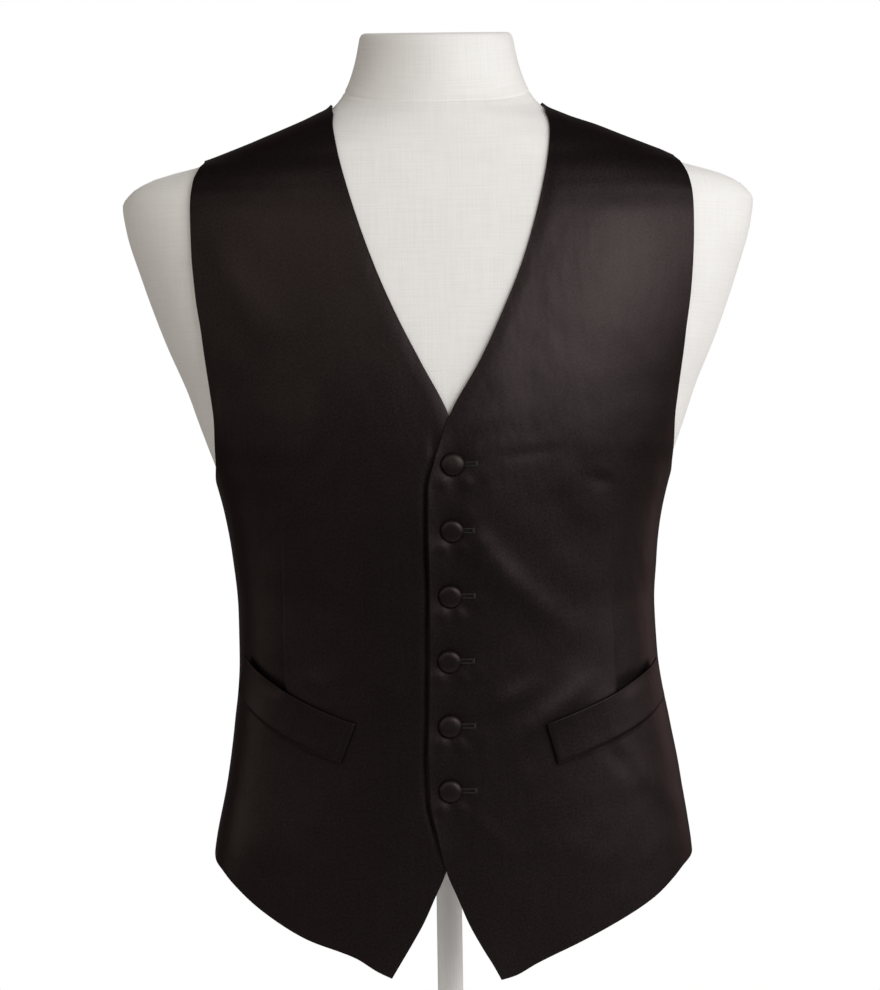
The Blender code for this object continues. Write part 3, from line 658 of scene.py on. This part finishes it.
# Each fold's start, bend and end (distance from the middle, height), its half width and rise, all
# in mm, and the skew of some.
frontFolds = {
    "left": (
        (9.1, 479, 37.2, 420.5, 103.4, 366.5, 13, 2.2, 0.15),
        (28.5, 276, 72.9, 312.5, 114.8, 344.5, 9, 1.4), (18.6, 311.5, 43.5, 325, 74.4, 341.5, 8, 1),
        (119.1, 292.5, 145.4, 257.5, 181.3, 216.5, 8, 1.2),
        (99.8, 286.5, 125.9, 271.5, 137.6, 249, 8, -0.8), (8, 244, 25, 221, 50, 199, 6, 0.5),
        (98.2, 497, 113.8, 488, 127.8, 491, 6, -0.6), (21.5, 507.5, 60.7, 508.5, 98.2, 516.5, 5, -0.35),
        (60, 500, 90, 456, 112, 412, 14, -0.8), (4.2, 522, 23.4, 533, 45.9, 548, 8, 0.5),
        (119, 324, 130, 331, 148, 343, 5.5, -1.6), (150, 470, 158, 420, 150, 360, 10, 0.6),
        (35, 415, 50, 395, 65, 390, 9, -0.4), (70, 220, 95, 205, 130, 195, 13, 0.5),
        (65, 709, 130, 708, 200, 704, 18, -0.55),
    ),
    "right": (
        (183.4, 676, 154.1, 634.5, 107.5, 562, 14, 3.3), (110, 570, 103, 545, 93, 500, 9, 0.6),
        (184.4, 715, 161.6, 700, 137.6, 690, 9, 0.7), (138.6, 500.5, 137.5, 447, 135, 384.5, 9, -0.5),
        (154, 445, 148.5, 400, 146, 361, 9, 0.6), (91.5, 330, 102.3, 338, 113.1, 348, 8, 0.6),
        (40, 315, 47, 330, 54, 350, 8, 0.5), (123, 327, 131, 333, 142, 340, 5, -0.9),
        (70, 530, 80, 480, 85, 430, 14, -0.5), (146.7, 276.5, 140.1, 232, 144.9, 186.5, 12, 0.6),
        (25, 260, 45, 210, 60, 160, 12, 0.4), (65, 709, 130, 708, 200, 704, 18, -0.55),
    ),
}


def closureAt(height):  # where the centre front line is, across the figure
    start, full = fronts["closureHeights"]
    return fronts["closureSwing"] * ramp(-height, -start, -full)


def lineUp(table):  # how far out a line of (distance, height) in mm is, at any height
    distances, heights = np.array(table).T * mm
    return smoothLine(heights, distances)


lapEdgeAt = lineUp(fronts["buttonedEdge"])
neckEdgeAt = {piece: lineUp(table) for piece, table in fronts["neckline"].items()}
dartLineAt = {piece: lineUp(table) for piece, table in fronts["dartLine"].items()}


def angleOf(distance, height):  # where the cloth is that far from the figure's middle
    standOff = easeAt(pi / 4, height) + cloth["wall"]
    half, depth = halfWidthAt(height) + standOff, frontDepthAt(height) + standOff
    power = squarenessAt(height)
    share = np.clip(np.abs(distance) / half, 0, 0.9999)
    return np.arctan2(distance, depth * (1 - share**power) ** (1 / power))


def dartAt(piece, distance, height):  # the cloth swells before the dart and drops behind it
    fromLine = distance - dartLineAt[piece](height)
    tip, fade = fronts["dartTip"], ramp(height, *fronts["dartFade"])
    strength = ramp(-height, -tip, -fronts["dartFoot"]) * fade
    above, below = fronts["dartSewn"]
    sewn = ramp(-height, -tip - above, -tip + below) * fade
    near = np.exp(-np.abs(fromLine) / fronts["dartShoulder"])
    step = np.where(fromLine < 0, fronts["dartSwell"], -fronts["dartDepth"])
    deep, wide = fronts["dartGroove"]
    return strength**2 * near * step - deep * bell(fromLine, wide) * sewn


def neckRollAt(piece, side, distance, height):  # the turned edge of the neckline rolls down
    deep, wide = fronts["neckRoll"]
    inward = distance - neckEdgeAt[piece](height) - side * closureAt(height)
    share = np.clip(1 - fronts["neckSlant"] * inward / wide, 0, 1)
    return -deep * share**2 * ramp(height, *fronts["neckRollHeights"])


def lapStandAt(distance, height):  # the left front's edge stands a little off the right front
    high, wide = fronts["lapStand"]
    inward = np.clip(distance - lapEdgeAt(height) - closureAt(height), 0, 1)
    return high * np.exp(-inward / wide) * between(height, *fronts["lapStandHeights"])


def besideLapAt(distance, height):  # the right front is pressed in along the edge over it
    deep, wide = fronts["lapTrough"]
    beside = distance + lapEdgeAt(height) + closureAt(height)
    return -deep * bell(beside, wide) * between(height, *fronts["lapTroughHeights"])


# Where the buttons sit: they pull the cloth in, and it puckers round them.
buttons = {
    "count": 6,
    "topHeight": 0.5015,
    "pitch": 49.4 * mm,
    "offset": 3.2 * mm,  # past the centre front line
    "radius": 9.0 * mm,
    # each sits a little askew: degrees to the right, degrees up
    "tilts": ((1, 3), (-5, -6), (-4, -5), (-4, -4), (1.5, 2), (-4.5, -2)),
    "gathers": 19,
    "gatherDepth": 0.11 * mm,
    "rim": (6.5 * mm, 8.8 * mm),  # from and to these radii, and down these heights
    "rimHeights": (4.4 * mm, 2.4 * mm),
    "unevenness": 0.10 * mm,
    "pull": (1.35 * mm, 12 * mm),  # how deep each draws the cloth in, and over what radius
    # the puckers that run out from each: degrees, rise in mm, reach in mm
    "puckers": ((-58, 0.90, 17), (-118, 0.85, 14), (-18, 0.35, 26), (34, 0.30, 18)),
    "puckerWidth": (3.2 * mm, 0.12),  # at the button, and its growth
    "scallop": (0.45 * mm, 8 * mm, 14 * mm),  # rise, start and reach between two buttons
    "steps": 76,
    # turned outline, from the crown down: radius and height over the cloth, in mm
    "outline": (
        (0, 5.3), (1.6, 5.28), (3.2, 5.2), (4.8, 5.02), (6.2, 4.68), (7.3, 4.18), (8.1, 3.52),
        (8.65, 2.82), (8.92, 2.3), (8.85, 1.84), (8.45, 1.46), (7.7, 1.24), (5, 1.2), (2.3, 1.2),
        (2.2, 0.6), (2.2, 0.02), (0, 0.02),
    ),
}


def buttonHeight(number):
    return buttons["topHeight"] - (number - 1) * buttons["pitch"]


def puckersAt(x, height):  # on the left front, round its buttons
    lift, start = 0.0, buttons["radius"] * 0.85
    (deep, wide), (narrow, growth) = buttons["pull"], buttons["puckerWidth"]
    for number in range(1, buttons["count"] + 1):
        at = buttonHeight(number)
        across, up = x - closureAt(at) - buttons["offset"], height - at
        lift = lift - deep * bell(np.hypot(across, up), wide)
        for turn, rise, reach in buttons["puckers"]:
            tip = radians(turn + 7 * sin(2.3 * number + turn))
            along = across * cos(tip) + up * sin(tip)
            off = up * cos(tip) - across * sin(tip)
            swell = np.sin(pi * np.clip((along - start) / (reach * mm), 0, 1)) ** 1.3
            width = narrow + growth * np.clip(along - start, 0, 1)
            lift = lift + rise * mm * swell * bell(off, width)
    # between the buttons the edge stands off a little
    phase = (buttons["topHeight"] - height) / buttons["pitch"]
    last = buttons["count"] - 1
    inRow = between(phase, (-0.4, 0), (last + 0.5, last))
    fromMiddle = x - closureAt(height) - buttons["offset"]
    high, begin, reach = buttons["scallop"]
    scallop = high * (0.5 - 0.5 * np.cos(2 * pi * phase)) * inRow
    return lift + scallop * bell(np.clip(fromMiddle + begin, 0, 1), reach)


def clothPoint(piece, side, places, out=0.0, overDart=False):
    # Places on the inside of a piece, or out from it. side is 1 on the wearer's left.
    angle, height = places[..., 0], places[..., 1]
    point = figurePoint(angle, height)
    x = point[..., 0]
    distance = np.abs(x)
    lift = easeAt(angle, height)
    if piece == "back":
        lift = lift + foldLift(backFolds, distance, height) + wobbleAt(distance, height, 2.0 + side)
    else:
        lift = lift + foldLift(frontFolds[piece], distance, height)
        lift = lift + wobbleAt(distance, height, side) * ramp(distance, 0, cloth["wobbleFrom"])
        lift = lift + (fronts["dartSwell"] if overDart else dartAt(piece, distance, height))
        lift = lift + neckRollAt(piece, side, x, height)
    if piece == "right":
        lift = lift + besideLapAt(x, height)
    if piece == "left":
        fromLine = x - closureAt(height)
        near, far = fronts["lapLift"]
        lift = lift + (cloth["wall"] + cloth["lapGap"]) * ramp(-fromLine, -far, -near)
        lift = lift + puckersAt(x, height) + lapStandAt(x, height)
    point = point + figureNormal(angle, height) * (lift + out)[..., None]
    return swayed(point * (side, 1, 1))


def frontCut(piece, side):
    def pastCentre(table):
        table = np.array(table) * mm
        return flattened([(angleOf(d + side * closureAt(h), h), h) for d, h in table])

    sideSeam, shoulder = seams(side, -1)
    armhole = sideSeam[-1:] + turned(fronts["underarm"])
    armhole += [(angleOf(d, h), h) for d, h in np.array(fronts["armhole"]) * mm]
    armhole += turned(fronts["armTop"]) + shoulder[-1:]
    edge = pastCentre(fronts["point"][piece] + fronts["buttonedEdge"])
    neckline = pastCentre(fronts["neckline"][piece])
    neckline += flattened(turned(fronts["neckTop"]) + shoulder[:1])
    bottom = pastCentre(fronts["hem"][piece]) + flattened(sideSeam[:1])
    return patch(
        inner=outline((fronts["edgeShare"], edge), (1.0, neckline)),
        outer=outline((fronts["seamShare"], flattened(sideSeam)), (1.0, flattened(armhole))),
        bottom=outline((1.0, bottom)),
        top=outline((1.0, flattened(shoulder))),
    )


def addFront(piece, side):
    cut = frontCut(piece, side)
    fine = np.linspace(0, 1, 121)
    nearEdge, nearDart = np.array(cloth["edgeLines"]), np.array(fronts["dartLines"])
    inside, outside = fronts["columns"]
    flat = []
    for up in withEdgeLines(fronts["length"], fronts["seamShare"], *fronts["rows"]):
        line = cut(fine, up)
        places = rolledRound(line)
        points = figurePoint(places[:, 0], places[:, 1])
        run, x = runAlong(points), points[:, 0]
        rising = slice(0, int(np.argmax(x)) + 1)
        # a column follows the dart, whose height is read where it crosses this row
        dart = dartLineAt[piece](np.interp(fronts["dartShare"], fine, line[:, 1]))
        atDart, end = np.interp(dart, x[rising], run[rising]), run[-1]
        first = np.linspace(nearEdge[-1], atDart - nearDart[-1], inside + 1)[:-1]
        second = np.linspace(atDart + nearDart[-1], end - nearEdge[-1], outside + 1)[:-1]
        dart = (*(atDart - nearDart[::-1]), *(atDart + nearDart[1:-1]))
        at = np.concatenate((nearEdge[:-1], first, dart, second, end - nearEdge[::-1]))
        flat.append(cut(np.interp(at, run, fine), up))
    flat = np.array(flat)
    point = clothPoint(piece, side, rolledRound(flat), weltRidgeAt(piece, flat))
    return addSheet("satin_front_" + piece, flat, point, satinCloth), flat


# The backs: two halves, plain, with a seam down the middle.
backs = {
    "neckHeight": 0.7740,
    "hemHeight": 0.2000,
    # degrees round, height
    "armhole": (
        (104, 0.4900), (113.5, 0.5080), (119, 0.5400), (121, 0.5900), (118.5, 0.6400), (115, 0.6850),
        (112, 0.7180), (106, 0.7335),
    ),
    "neckline": ((150, 1 * mm), (120, 6 * mm)),  # degrees round, rise over the centre
    "hemAngles": (140, 112),
    "size": (0.20, 0.60),  # about, to space the lines near its edges
    "neckShare": 6 / 13,
    "seamShare": 0.5,
    "columns": (30, 40),
    "rows": (92, 92),
}
backFolds = (
    (20, 650, 65, 620, 125, 550, 13, 1.2, 0.2), (30, 590, 80, 560, 135, 520, 12, -0.9),
    (15, 390, 65, 380, 130, 400, 8, 1.2, 0.3), (20, 415, 70, 408, 135, 435, 9, -0.9),
    (25, 355, 75, 340, 130, 356, 9, -0.8), (30, 330, 80, 308, 135, 320, 9, 0.9, 0.2),
    (60, 490, 55, 440, 70, 390, 12, 0.7), (125, 470, 120, 420, 130, 350, 11, 0.8),
    (70, 290, 85, 250, 90, 210, 13, 0.9), (130, 295, 135, 250, 145, 212, 12, -0.8),
    (45, 730, 55, 690, 50, 640, 15, 0.6),
)


def backCut(side):
    sideSeam, shoulder = seams(side, 1)
    heights = np.linspace(backs["hemHeight"], backs["neckHeight"], cloth["seamPoints"])
    centre = [(pi - cloth["seamGap"] / 2 / backDepthAt(height), height) for height in heights]
    armhole = sideSeam[-1:] + turned(backs["armhole"]) + shoulder[-1:]
    halfway = (backs["hemHeight"] + sideHemHeight(side)) / 2
    hem = turned(zip(backs["hemAngles"], (backs["hemHeight"], halfway)))
    hem = centre[:1] + hem + sideSeam[:1]
    neckline = turned((turn, backs["neckHeight"] + rise) for turn, rise in backs["neckline"])
    neckline = centre[-1:] + neckline + shoulder[:1]
    centre, sideSeam, armhole, hem, neckline, shoulder = (
        flattened(places, behind=True)
        for places in (centre, sideSeam, armhole, hem, neckline, shoulder)
    )
    return patch(
        inner=outline((1.0, centre)),
        outer=outline((backs["seamShare"], sideSeam), (1.0, armhole)),
        bottom=outline((1.0, hem)),
        top=outline((backs["neckShare"], neckline), (1.0, shoulder)),
    )


def addBack(piece, side):
    cut = backCut(side)
    width, length = backs["size"]
    across = withEdgeLines(width, backs["neckShare"], *backs["columns"])
    up = withEdgeLines(length, backs["seamShare"], *backs["rows"])
    flat = cut(across[None, :], up[:, None])
    point = clothPoint("back", side, rolledRound(flat, behind=True))
    return addSheet("satin_back_" + piece, flat, point, satinCloth), flat


# The pocket welts.
welts = {
    "height": 32 * mm,
    # length, slope, lean of its ends, how far its middle sags, then its inner lower corner:
    # distance round the figure, height
    "cuts": {
        "left": (112.5 * mm, radians(23.5), radians(13.5), 2.6 * mm, 76.0 * mm, 0.2735),
        "right": (109.0 * mm, radians(27.5), radians(22.5), 3.8 * mm, 87.3 * mm, 0.2770),
    },
    "gap": 0.3 * mm,
    "mouth": 1.3 * mm,
    "roll": (0.9 * mm, 1.2 * mm),  # how high its lower edge and inner end roll up, and how wide
    "seamRidge": (0.55 * mm, 0.9 * mm, 0.7 * mm),  # under it: height, distance below, half width
    "columns": (20, 20),
    "rows": (6, 6),
    "stitchIn": 5.0 * mm,
    "stitchEnds": 2.2 * mm,
    "stitchSize": (1.7 * mm, 0.34 * mm, 0.30 * mm),
    "stitchSink": 0.05 * mm,
    "stitches": 11,
}


def weltRidgeAt(piece, flat):  # on the front, just below the welt's lower edge
    length, slope, lean, sag, cornerDistance, cornerHeight = welts["cuts"][piece]
    high, below, halfWidth = welts["seamRidge"]
    run = (flat[..., 0] - cornerDistance) / cos(slope)
    along = np.clip(run / length, 0, 1)
    edge = cornerHeight + run * sin(slope) - 4 * sag * along * (1 - along)
    under = (edge - flat[..., 1]) * cos(slope) - below
    fade = between(run, (-1 * mm, 3 * mm), (length + 4 * mm, length))
    return high * bell(under, halfWidth) * fade


def weltPoint(piece, side, run, rise, out):
    length, slope, lean, sag, cornerDistance, cornerHeight = welts["cuts"][piece]
    along, up = run / length, rise / welts["height"]
    distance = cornerDistance + run * cos(slope) - rise * sin(lean)
    height = cornerHeight + run * sin(slope) + rise * cos(lean)
    height = height - 4 * sag * along * (1 - along)
    places = rolledRound(np.stack((distance, height), -1))
    mouth = welts["mouth"] * np.clip(up, 0, 1) ** 2 * np.sin(pi * np.clip(along, 0, 1)) ** 0.5
    high, wide = welts["roll"]
    roll = high * ramp(rise, 0.0, wide) * (0.5 + 0.5 * ramp(run, 0.0, wide))
    lift = cloth["wall"] + welts["gap"] + mouth + roll + out
    return clothPoint(piece, side, places, lift, overDart=True)


def addWelt(piece, side):
    length = welts["cuts"][piece][0]
    run = length * withEdgeLines(length, 0.5, *welts["columns"])
    rise = welts["height"] * withEdgeLines(welts["height"], 0.5, *welts["rows"])
    run, rise = np.broadcast_arrays(run[None, :], rise[:, None])
    flat = np.stack((run, rise), -1)
    point = weltPoint(piece, side, run, rise, 0.0)
    return addSheet("satin_welt_" + piece, flat, point, satinWelt), flat


def addStitch(bm, middle, along, out, size):
    # One stitch: a small grain of thread lying along the cloth.
    along = Vector(along).normalized()
    out = Vector(out).normalized()
    turn = Matrix((along, out.cross(along), out)).transposed().to_4x4()
    place = Matrix.Translation(Vector(middle)) @ turn @ Matrix.Diagonal((*size, 1))
    bmesh.ops.create_uvsphere(bm, u_segments=8, v_segments=6, radius=0.5, matrix=place)


def addWeltStitches(piece, side):
    # A row of small stitches holds each end of a welt down.
    bm = bmesh.new()
    top, ends = cloth["wall"] - welts["stitchSink"], welts["stitchEnds"]
    for run in (welts["stitchIn"], welts["cuts"][piece][0] - welts["stitchIn"]):
        for rise in np.linspace(ends, welts["height"] - ends, welts["stitches"]):
            spots = [
                weltPoint(piece, side, r, u, top)
                for r, u in ((run, rise), (run, rise + 1 * mm), (run + 1 * mm, rise))
            ]
            along, across = spots[1] - spots[0], spots[2] - spots[0]
            out = np.cross(across, along) * side
            addStitch(bm, spots[0], along, out, welts["stitchSize"])
    return addMesh("welt_stitches_" + piece, bm, blackThread)


# Covered buttons and worked buttonholes.
def buttonSeat(number):
    height = buttonHeight(number)
    angle = angleOf(closureAt(height) + buttons["offset"], height)
    seat = clothPoint("left", 1, np.array((angle, height)), cloth["wall"])
    return Vector(seat), Vector(figureNormal(angle, height))


def addButton(number):
    seat, out = buttonSeat(number)
    bm = bmesh.new()
    verts = [bm.verts.new((radius * mm, 0, rise * mm)) for radius, rise in buttons["outline"]]
    edges = [bm.edges.new(pair) for pair in zip(verts, verts[1:])]
    bmesh.ops.spin(
        bm, geom=verts + edges, cent=(0, 0, 0), axis=(0, 0, 1), angle=2 * pi,
        steps=buttons["steps"], use_merge=True, use_duplicate=False,
    )
    close(bm, 0.01 * mm)
    flat, (upper, lower) = [], buttons["rimHeights"]
    for vert in bm.verts:
        radius, turn = hypot(vert.co.x, vert.co.y), atan2(vert.co.y, vert.co.x)
        flat.append((vert.co.x + 0.03 * number, vert.co.y))
        # the cover is gathered in round the rim
        grip = ramp(radius, *buttons["rim"]) * ramp(-vert.co.z, -upper, -lower)
        ripple = sin(buttons["gathers"] * turn + 1.7 * sin(3 * turn + number))
        if radius > 0:
            pull = 1 + buttons["gatherDepth"] * grip * ripple / radius
            vert.co.x, vert.co.y = vert.co.x * pull, vert.co.y * pull
        share = radius / buttons["radius"]
        vert.co.z += buttons["unevenness"] * sin(2 * turn + 1.3 * number) * share
    right, up = (radians(tilt) for tilt in buttons["tilts"][number - 1])
    out = (out + Vector((tan(right), 0, tan(up)))).normalized()
    facing = out.to_track_quat("Z", "Y").to_matrix().to_4x4()
    bmesh.ops.transform(bm, matrix=Matrix.Translation(seat) @ facing, verts=bm.verts)
    return addMesh(f"covered_button_{number}", bm, satinButton, np.array(flat))


holes = {
    "start": 4.0 * mm,  # from the button's middle
    "ends": (15.8, 14.2, 16.2, 16.2, 16.8, 17.3),  # mm
    "halfGap": 1.45 * mm,
    "bead": (0.70 * mm, 0.95 * mm),  # half width and half height of the worked edge
    "stitchPitch": 0.62 * mm,
    "stitchDepth": 0.10 * mm,
    "steps": 240,
    "sides": 8,
    "lift": 0.1 * mm,
    "barTack": (6.2 * mm, 1.5 * mm, 1.1 * mm),
    # the near-black strip of painted shadow in the slit: how much narrower than the gap and longer it
    # is, its thickness, shift and rise
    "slit": (0.8 * mm, 2.0 * mm, 0.30 * mm, 0.8 * mm, 0.12 * mm),
}


def addButtonhole(number):
    # A bead of stitches round the slit, a bar at its end, and in the slit a near-black strip of painted
    # shadow.
    at = buttonHeight(number)
    centre = flattened([(angleOf(closureAt(at) + buttons["offset"], at), at)])[0]

    def onCloth(along, up, out):
        flat = np.stack((centre[0] + along, centre[1] + up), -1)
        return clothPoint("left", 1, rolledRound(flat), cloth["wall"] + out)

    start, end, gap = holes["start"], holes["ends"][number - 1] * mm, holes["halfGap"]
    straight, bend = end - start, pi * gap
    steps, sides = holes["steps"], holes["sides"]
    bm, row, column = newGrid(sides, steps)
    run, turn = column / steps * 2 * (straight + bend), row / sides * 2 * pi
    # along the lower side, round the far end, back along the upper side and round the near end
    corners = np.cumsum((0, straight, bend, straight, bend))
    swing = np.interp(run, corners, np.array((0, 0, 1, 1, 2)) * pi)
    base = np.interp(run, corners, (start, end, end, start, start))
    pathX, pathY = base + gap * np.sin(swing), -gap * np.cos(swing)
    half, high = holes["bead"]
    bead = 1 + holes["stitchDepth"] / high * np.sin(2 * pi * run / holes["stitchPitch"])
    across, out = half * np.cos(turn) * bead, high * np.sin(turn) * bead
    lift = holes["lift"]
    layOn(bm, onCloth(pathX + across * np.sin(swing), pathY - across * np.cos(swing), out + lift))
    bmesh.ops.remove_doubles(bm, verts=bm.verts, dist=0.005 * mm)
    outward, up = buttonSeat(number)[1], Vector((0, 0, 1))
    tack = onCloth(end + gap + half, 0.0, lift)
    addStitch(bm, tack, up, outward, holes["barTack"])
    bmesh.ops.recalc_face_normals(bm, faces=bm.faces)
    threadFaces = len(bm.faces)
    # the slit is filled with a thin near-black grain of painted shadow
    narrower, longer, thick, shift, rise = holes["slit"]
    slit = onCloth((start + end) / 2 + shift, 0.0, rise)
    addStitch(bm, slit, up.cross(outward), outward, (straight + longer, 2 * gap - narrower, thick))
    bm.faces.ensure_lookup_table()
    for face in bm.faces[threadFaces:]:
        face.material_index = 1
    made = addMesh(f"buttonhole_{number}", bm, blackThread)
    made.data.materials.append(slitShadow)
    return made


# The dress form.
form = {
    "bottom": 0.2140,
    "top": 0.8435,
    # rounded edges: mm from the underside or the top, share of the width
    "bottomEdge": ((0, 0), (0, 0.25), (0, 0.5), (0, 0.75), (0, 0.93), (0.6, 0.972), (3, 0.99)),
    "topEdge": ((8, 1), (4, 0.998), (1.6, 0.985), (0.4, 0.96), (0, 0.93), (0, 0.7), (0, 0.4), (0, 0)),
    "edgeRise": 8 * mm,
    "edgeDrop": 10 * mm,
    "columns": 150,
    "rings": (150, 12),  # below the neck seam, and above it
    "seamAngles": (0, 30, 60, 90, 130, 180),
    "seamHeights": (0.7885, 0.7895, 0.7935, 0.7970, 0.7970, 0.7960),
    "seamRing": 0.7925,
    "seamRingOffsets": (0.35, 0.8, 1.4, 2.4, 4.0),  # mm above and below it
    "seamShift": (0.72, 0.8375),  # rings between these heights follow the seam
    "seamDepth": 0.4 * mm,
    "seamHalfWidth": 0.9 * mm,
    "seamRoll": (0.35, 2.4 * mm, 1.3 * mm),  # beside it: share of the depth, offset, half width
    "crowding": 1.5,
}


def addForm():
    seamLine = smoothLine(form["seamAngles"], form["seamHeights"])
    low, high = form["bottom"] + form["edgeRise"], form["top"] - form["edgeDrop"]
    seamRing, away = form["seamRing"], np.array(form["seamRingOffsets"]) * mm
    near = np.concatenate((-away[::-1], (0.0,), away)) + seamRing
    under, over = form["rings"]
    below, above = np.linspace(low, near[0], under)[:-1], np.linspace(near[-1], high, over)[1:]
    levels = [(form["bottom"] + rise * mm, share) for rise, share in form["bottomEdge"]]
    levels += [(height, 1.0) for height in (*below, *near, *above)]
    levels += [(form["top"] - drop * mm, share) for drop, share in form["topEdge"]]
    levels = np.array(levels)
    rows, columns = len(levels) - 1, form["columns"]
    turn = np.linspace(-pi, pi, columns + 1)
    turn = np.arctan2(np.sin(turn) * form["crowding"], np.cos(turn))
    turn[0], turn[-1] = -pi, pi
    height, share = (np.broadcast_to(levels[:, k, None], (rows + 1, columns + 1)) for k in (0, 1))
    angle = np.broadcast_to(turn, height.shape)
    # the rings near the neck seam follow it
    seam = seamLine(np.degrees(np.abs(angle)))
    first, last = form["seamShift"]
    height = height + (seam - seamRing) * between(height, (first, seamRing), (last, seamRing))
    fromSeam = height - seam
    groove = bell(fromSeam, form["seamHalfWidth"])
    rise, away, halfWidth = form["seamRoll"]
    groove -= rise * bell(np.abs(fromSeam) - away, halfWidth)
    groove = form["seamDepth"] * groove * (share >= 1.0)
    point = figurePoint(angle, height) - figureNormal(angle, height) * groove[..., None]
    level = np.stack((0 * height, 0 * height, height), -1)
    point = swayed(level + (point - level) * share[..., None])
    # the flat cut of its cover, for the weave
    girth, middle = runAlong(point), columns // 2
    girth -= girth[:, middle, None]
    rise = runAlong(point[:, middle])
    flat = np.stack((girth, np.broadcast_to(rise[:, None], girth.shape)), -1)
    bm, row, column = newGrid(rows, columns)
    layOn(bm, point[row, column])
    layer = bm.loops.layers.uv.new("cut")
    bm.verts.index_update()
    for face in bm.faces:
        for loop in face.loops:
            at = loop.vert.index
            loop[layer].uv = flat[row[at], column[at]]
    close(bm, 0.01 * mm)
    return addMesh("linen_dress_form", bm, linenCover)


body = "root"
formCover = addForm()
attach(formCover, body)
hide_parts("dress_form")
print("dress form made")

for piece, side in (("left", 1), ("right", -1)):
    stitches = addWeltStitches(piece, side)
    welt, weltFlat = addWelt(piece, side)
    front, frontFlat = addFront(piece, side)
    back, backFlat = addBack(piece, side)
    onFront = []
    if piece == "left":
        for number in range(1, buttons["count"] + 1):
            button, hole = addButton(number), addButtonhole(number)
            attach(button, body)
            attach(hole, body)
            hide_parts(f"button_{number}")
            onFront += [button, hole]
    for made, node in ((welt, "pocket_welt_"), (front, "front_"), (back, "back_")):
        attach(made, body)
        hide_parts(node + piece)
    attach(stitches, body)
    declareSheet(front, frontFlat, held="hung", rests_on=[formCover], with_pieces=onFront)
    declareSheet(back, backFlat, held="hung", rests_on=[formCover])
    declareSheet(welt, weltFlat, held="laid", rests_on=[front], with_pieces=[stitches])
    print(f"{piece} side of the waistcoat made")

for node in ("stand_pole", "stand_base"):
    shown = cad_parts[node]
    shown.data.materials.clear()
    shown.data.materials.append(whitePaint)


# The studio.
studio = {
    "floorRadius": 0.5,
    "cameraPlace": (-0.09236, -2.41824, 0.47829),
    "cameraTurn": -0.03719,
    "cameraRoll": -0.01535,
    "sensor": 36,
    "lens": 111.417091,
    "aim": (0.0, 0.0, 0.48),
    "lightAway": 2.3,
    "lightSize": 1.1,
    # name, degrees round from the front, degrees up, power in watts, colour
    "lights": (
        ("key softbox", 30, 20, 22.6, (1, 1, 1)),
        ("side key", 50, 12, 9.0, (1, 1, 1)),
        ("high side key", 70, 25, 4.8, (1, 1, 1)),
        ("top fill", -15, 30, 4.4, (1, 0.91, 0.85)),
        ("left fill", 70, 5, 5.6, (1, 0.92, 0.92)),
        ("left side fill", 100, 5, 3.2, (1, 0.92, 0.90)),
        ("left edge fill", 125, 5, 8.5, (1, 0.92, 0.88)),
        ("right fill", -40, 30, 2.6, (1, 0.91, 0.85)),
        ("low right fill", -40, 5, 2.6, (1, 0.91, 0.85)),
        ("right side fill", -70, 5, 2.0, (1, 0.97, 0.84)),
        ("right edge fill", -100, 5, 4.2, (1, 0.97, 0.84)),
    ),
    "ambient": (0.170, 0.156, 0.147),
}


def addStudio():
    bm = bmesh.new()
    bmesh.ops.create_circle(bm, cap_ends=True, radius=studio["floorRadius"], segments=128)
    finish = Finish("pale floor", {"Roughness": 0.9})
    dust = finish.noise(finish.place(), (30, 30), 4.0)
    finish.feed(Base_Color=finish.between(dust, (0.84, 0.84, 0.84), (0.86, 0.86, 0.86)))
    floor = addMesh("floor", bm, finish.material)
    aim = Vector(studio["aim"])
    for name, turn, rise, power, colour in studio["lights"]:
        lamp = bpy.data.lights.new(name, "AREA")
        lamp.shape, lamp.size = "SQUARE", studio["lightSize"]
        lamp.energy, lamp.color = power, colour
        turn, rise = radians(turn), radians(rise)
        level = cos(rise)
        out = Vector((sin(turn) * level, -cos(turn) * level, sin(rise)))
        made = addObject(name, lamp)
        made.location = aim + studio["lightAway"] * out
        made.rotation_euler = (-out).to_track_quat("-Z", "Y").to_euler()
    world = bpy.data.worlds.new("white studio")
    world.use_nodes = True
    nodes, links = world.node_tree.nodes, world.node_tree.links
    nodes.clear()
    kinds = ("Background", "Background", "LightPath", "MixShader", "OutputWorld")
    seen, around, rays, mix, out = (nodes.new("ShaderNode" + kind) for kind in kinds)
    seen.inputs["Color"].default_value = (1, 1, 1, 1)
    around.inputs["Color"].default_value = (*studio["ambient"], 1)
    sources = (rays.outputs["Is Camera Ray"], around.outputs[0], seen.outputs[0])
    for source, socket in zip(sources, mix.inputs):
        links.new(source, socket)
    links.new(mix.outputs[0], out.inputs["Surface"])
    scene.world = world
    scene.view_settings.view_transform = "Standard"

    camera = bpy.data.cameras.new("camera")
    camera.sensor_fit, camera.sensor_height = "VERTICAL", studio["sensor"]
    camera.lens = studio["lens"]
    made = addObject("camera", camera)
    turn = Matrix.Rotation(studio["cameraTurn"], 4, "Z") @ Matrix.Rotation(pi / 2, 4, "X")
    turn = turn @ Matrix.Rotation(studio["cameraRoll"], 4, "Z")
    made.matrix_world = Matrix.Translation(studio["cameraPlace"]) @ turn
    scene.camera = made


addStudio()
print("studio made")
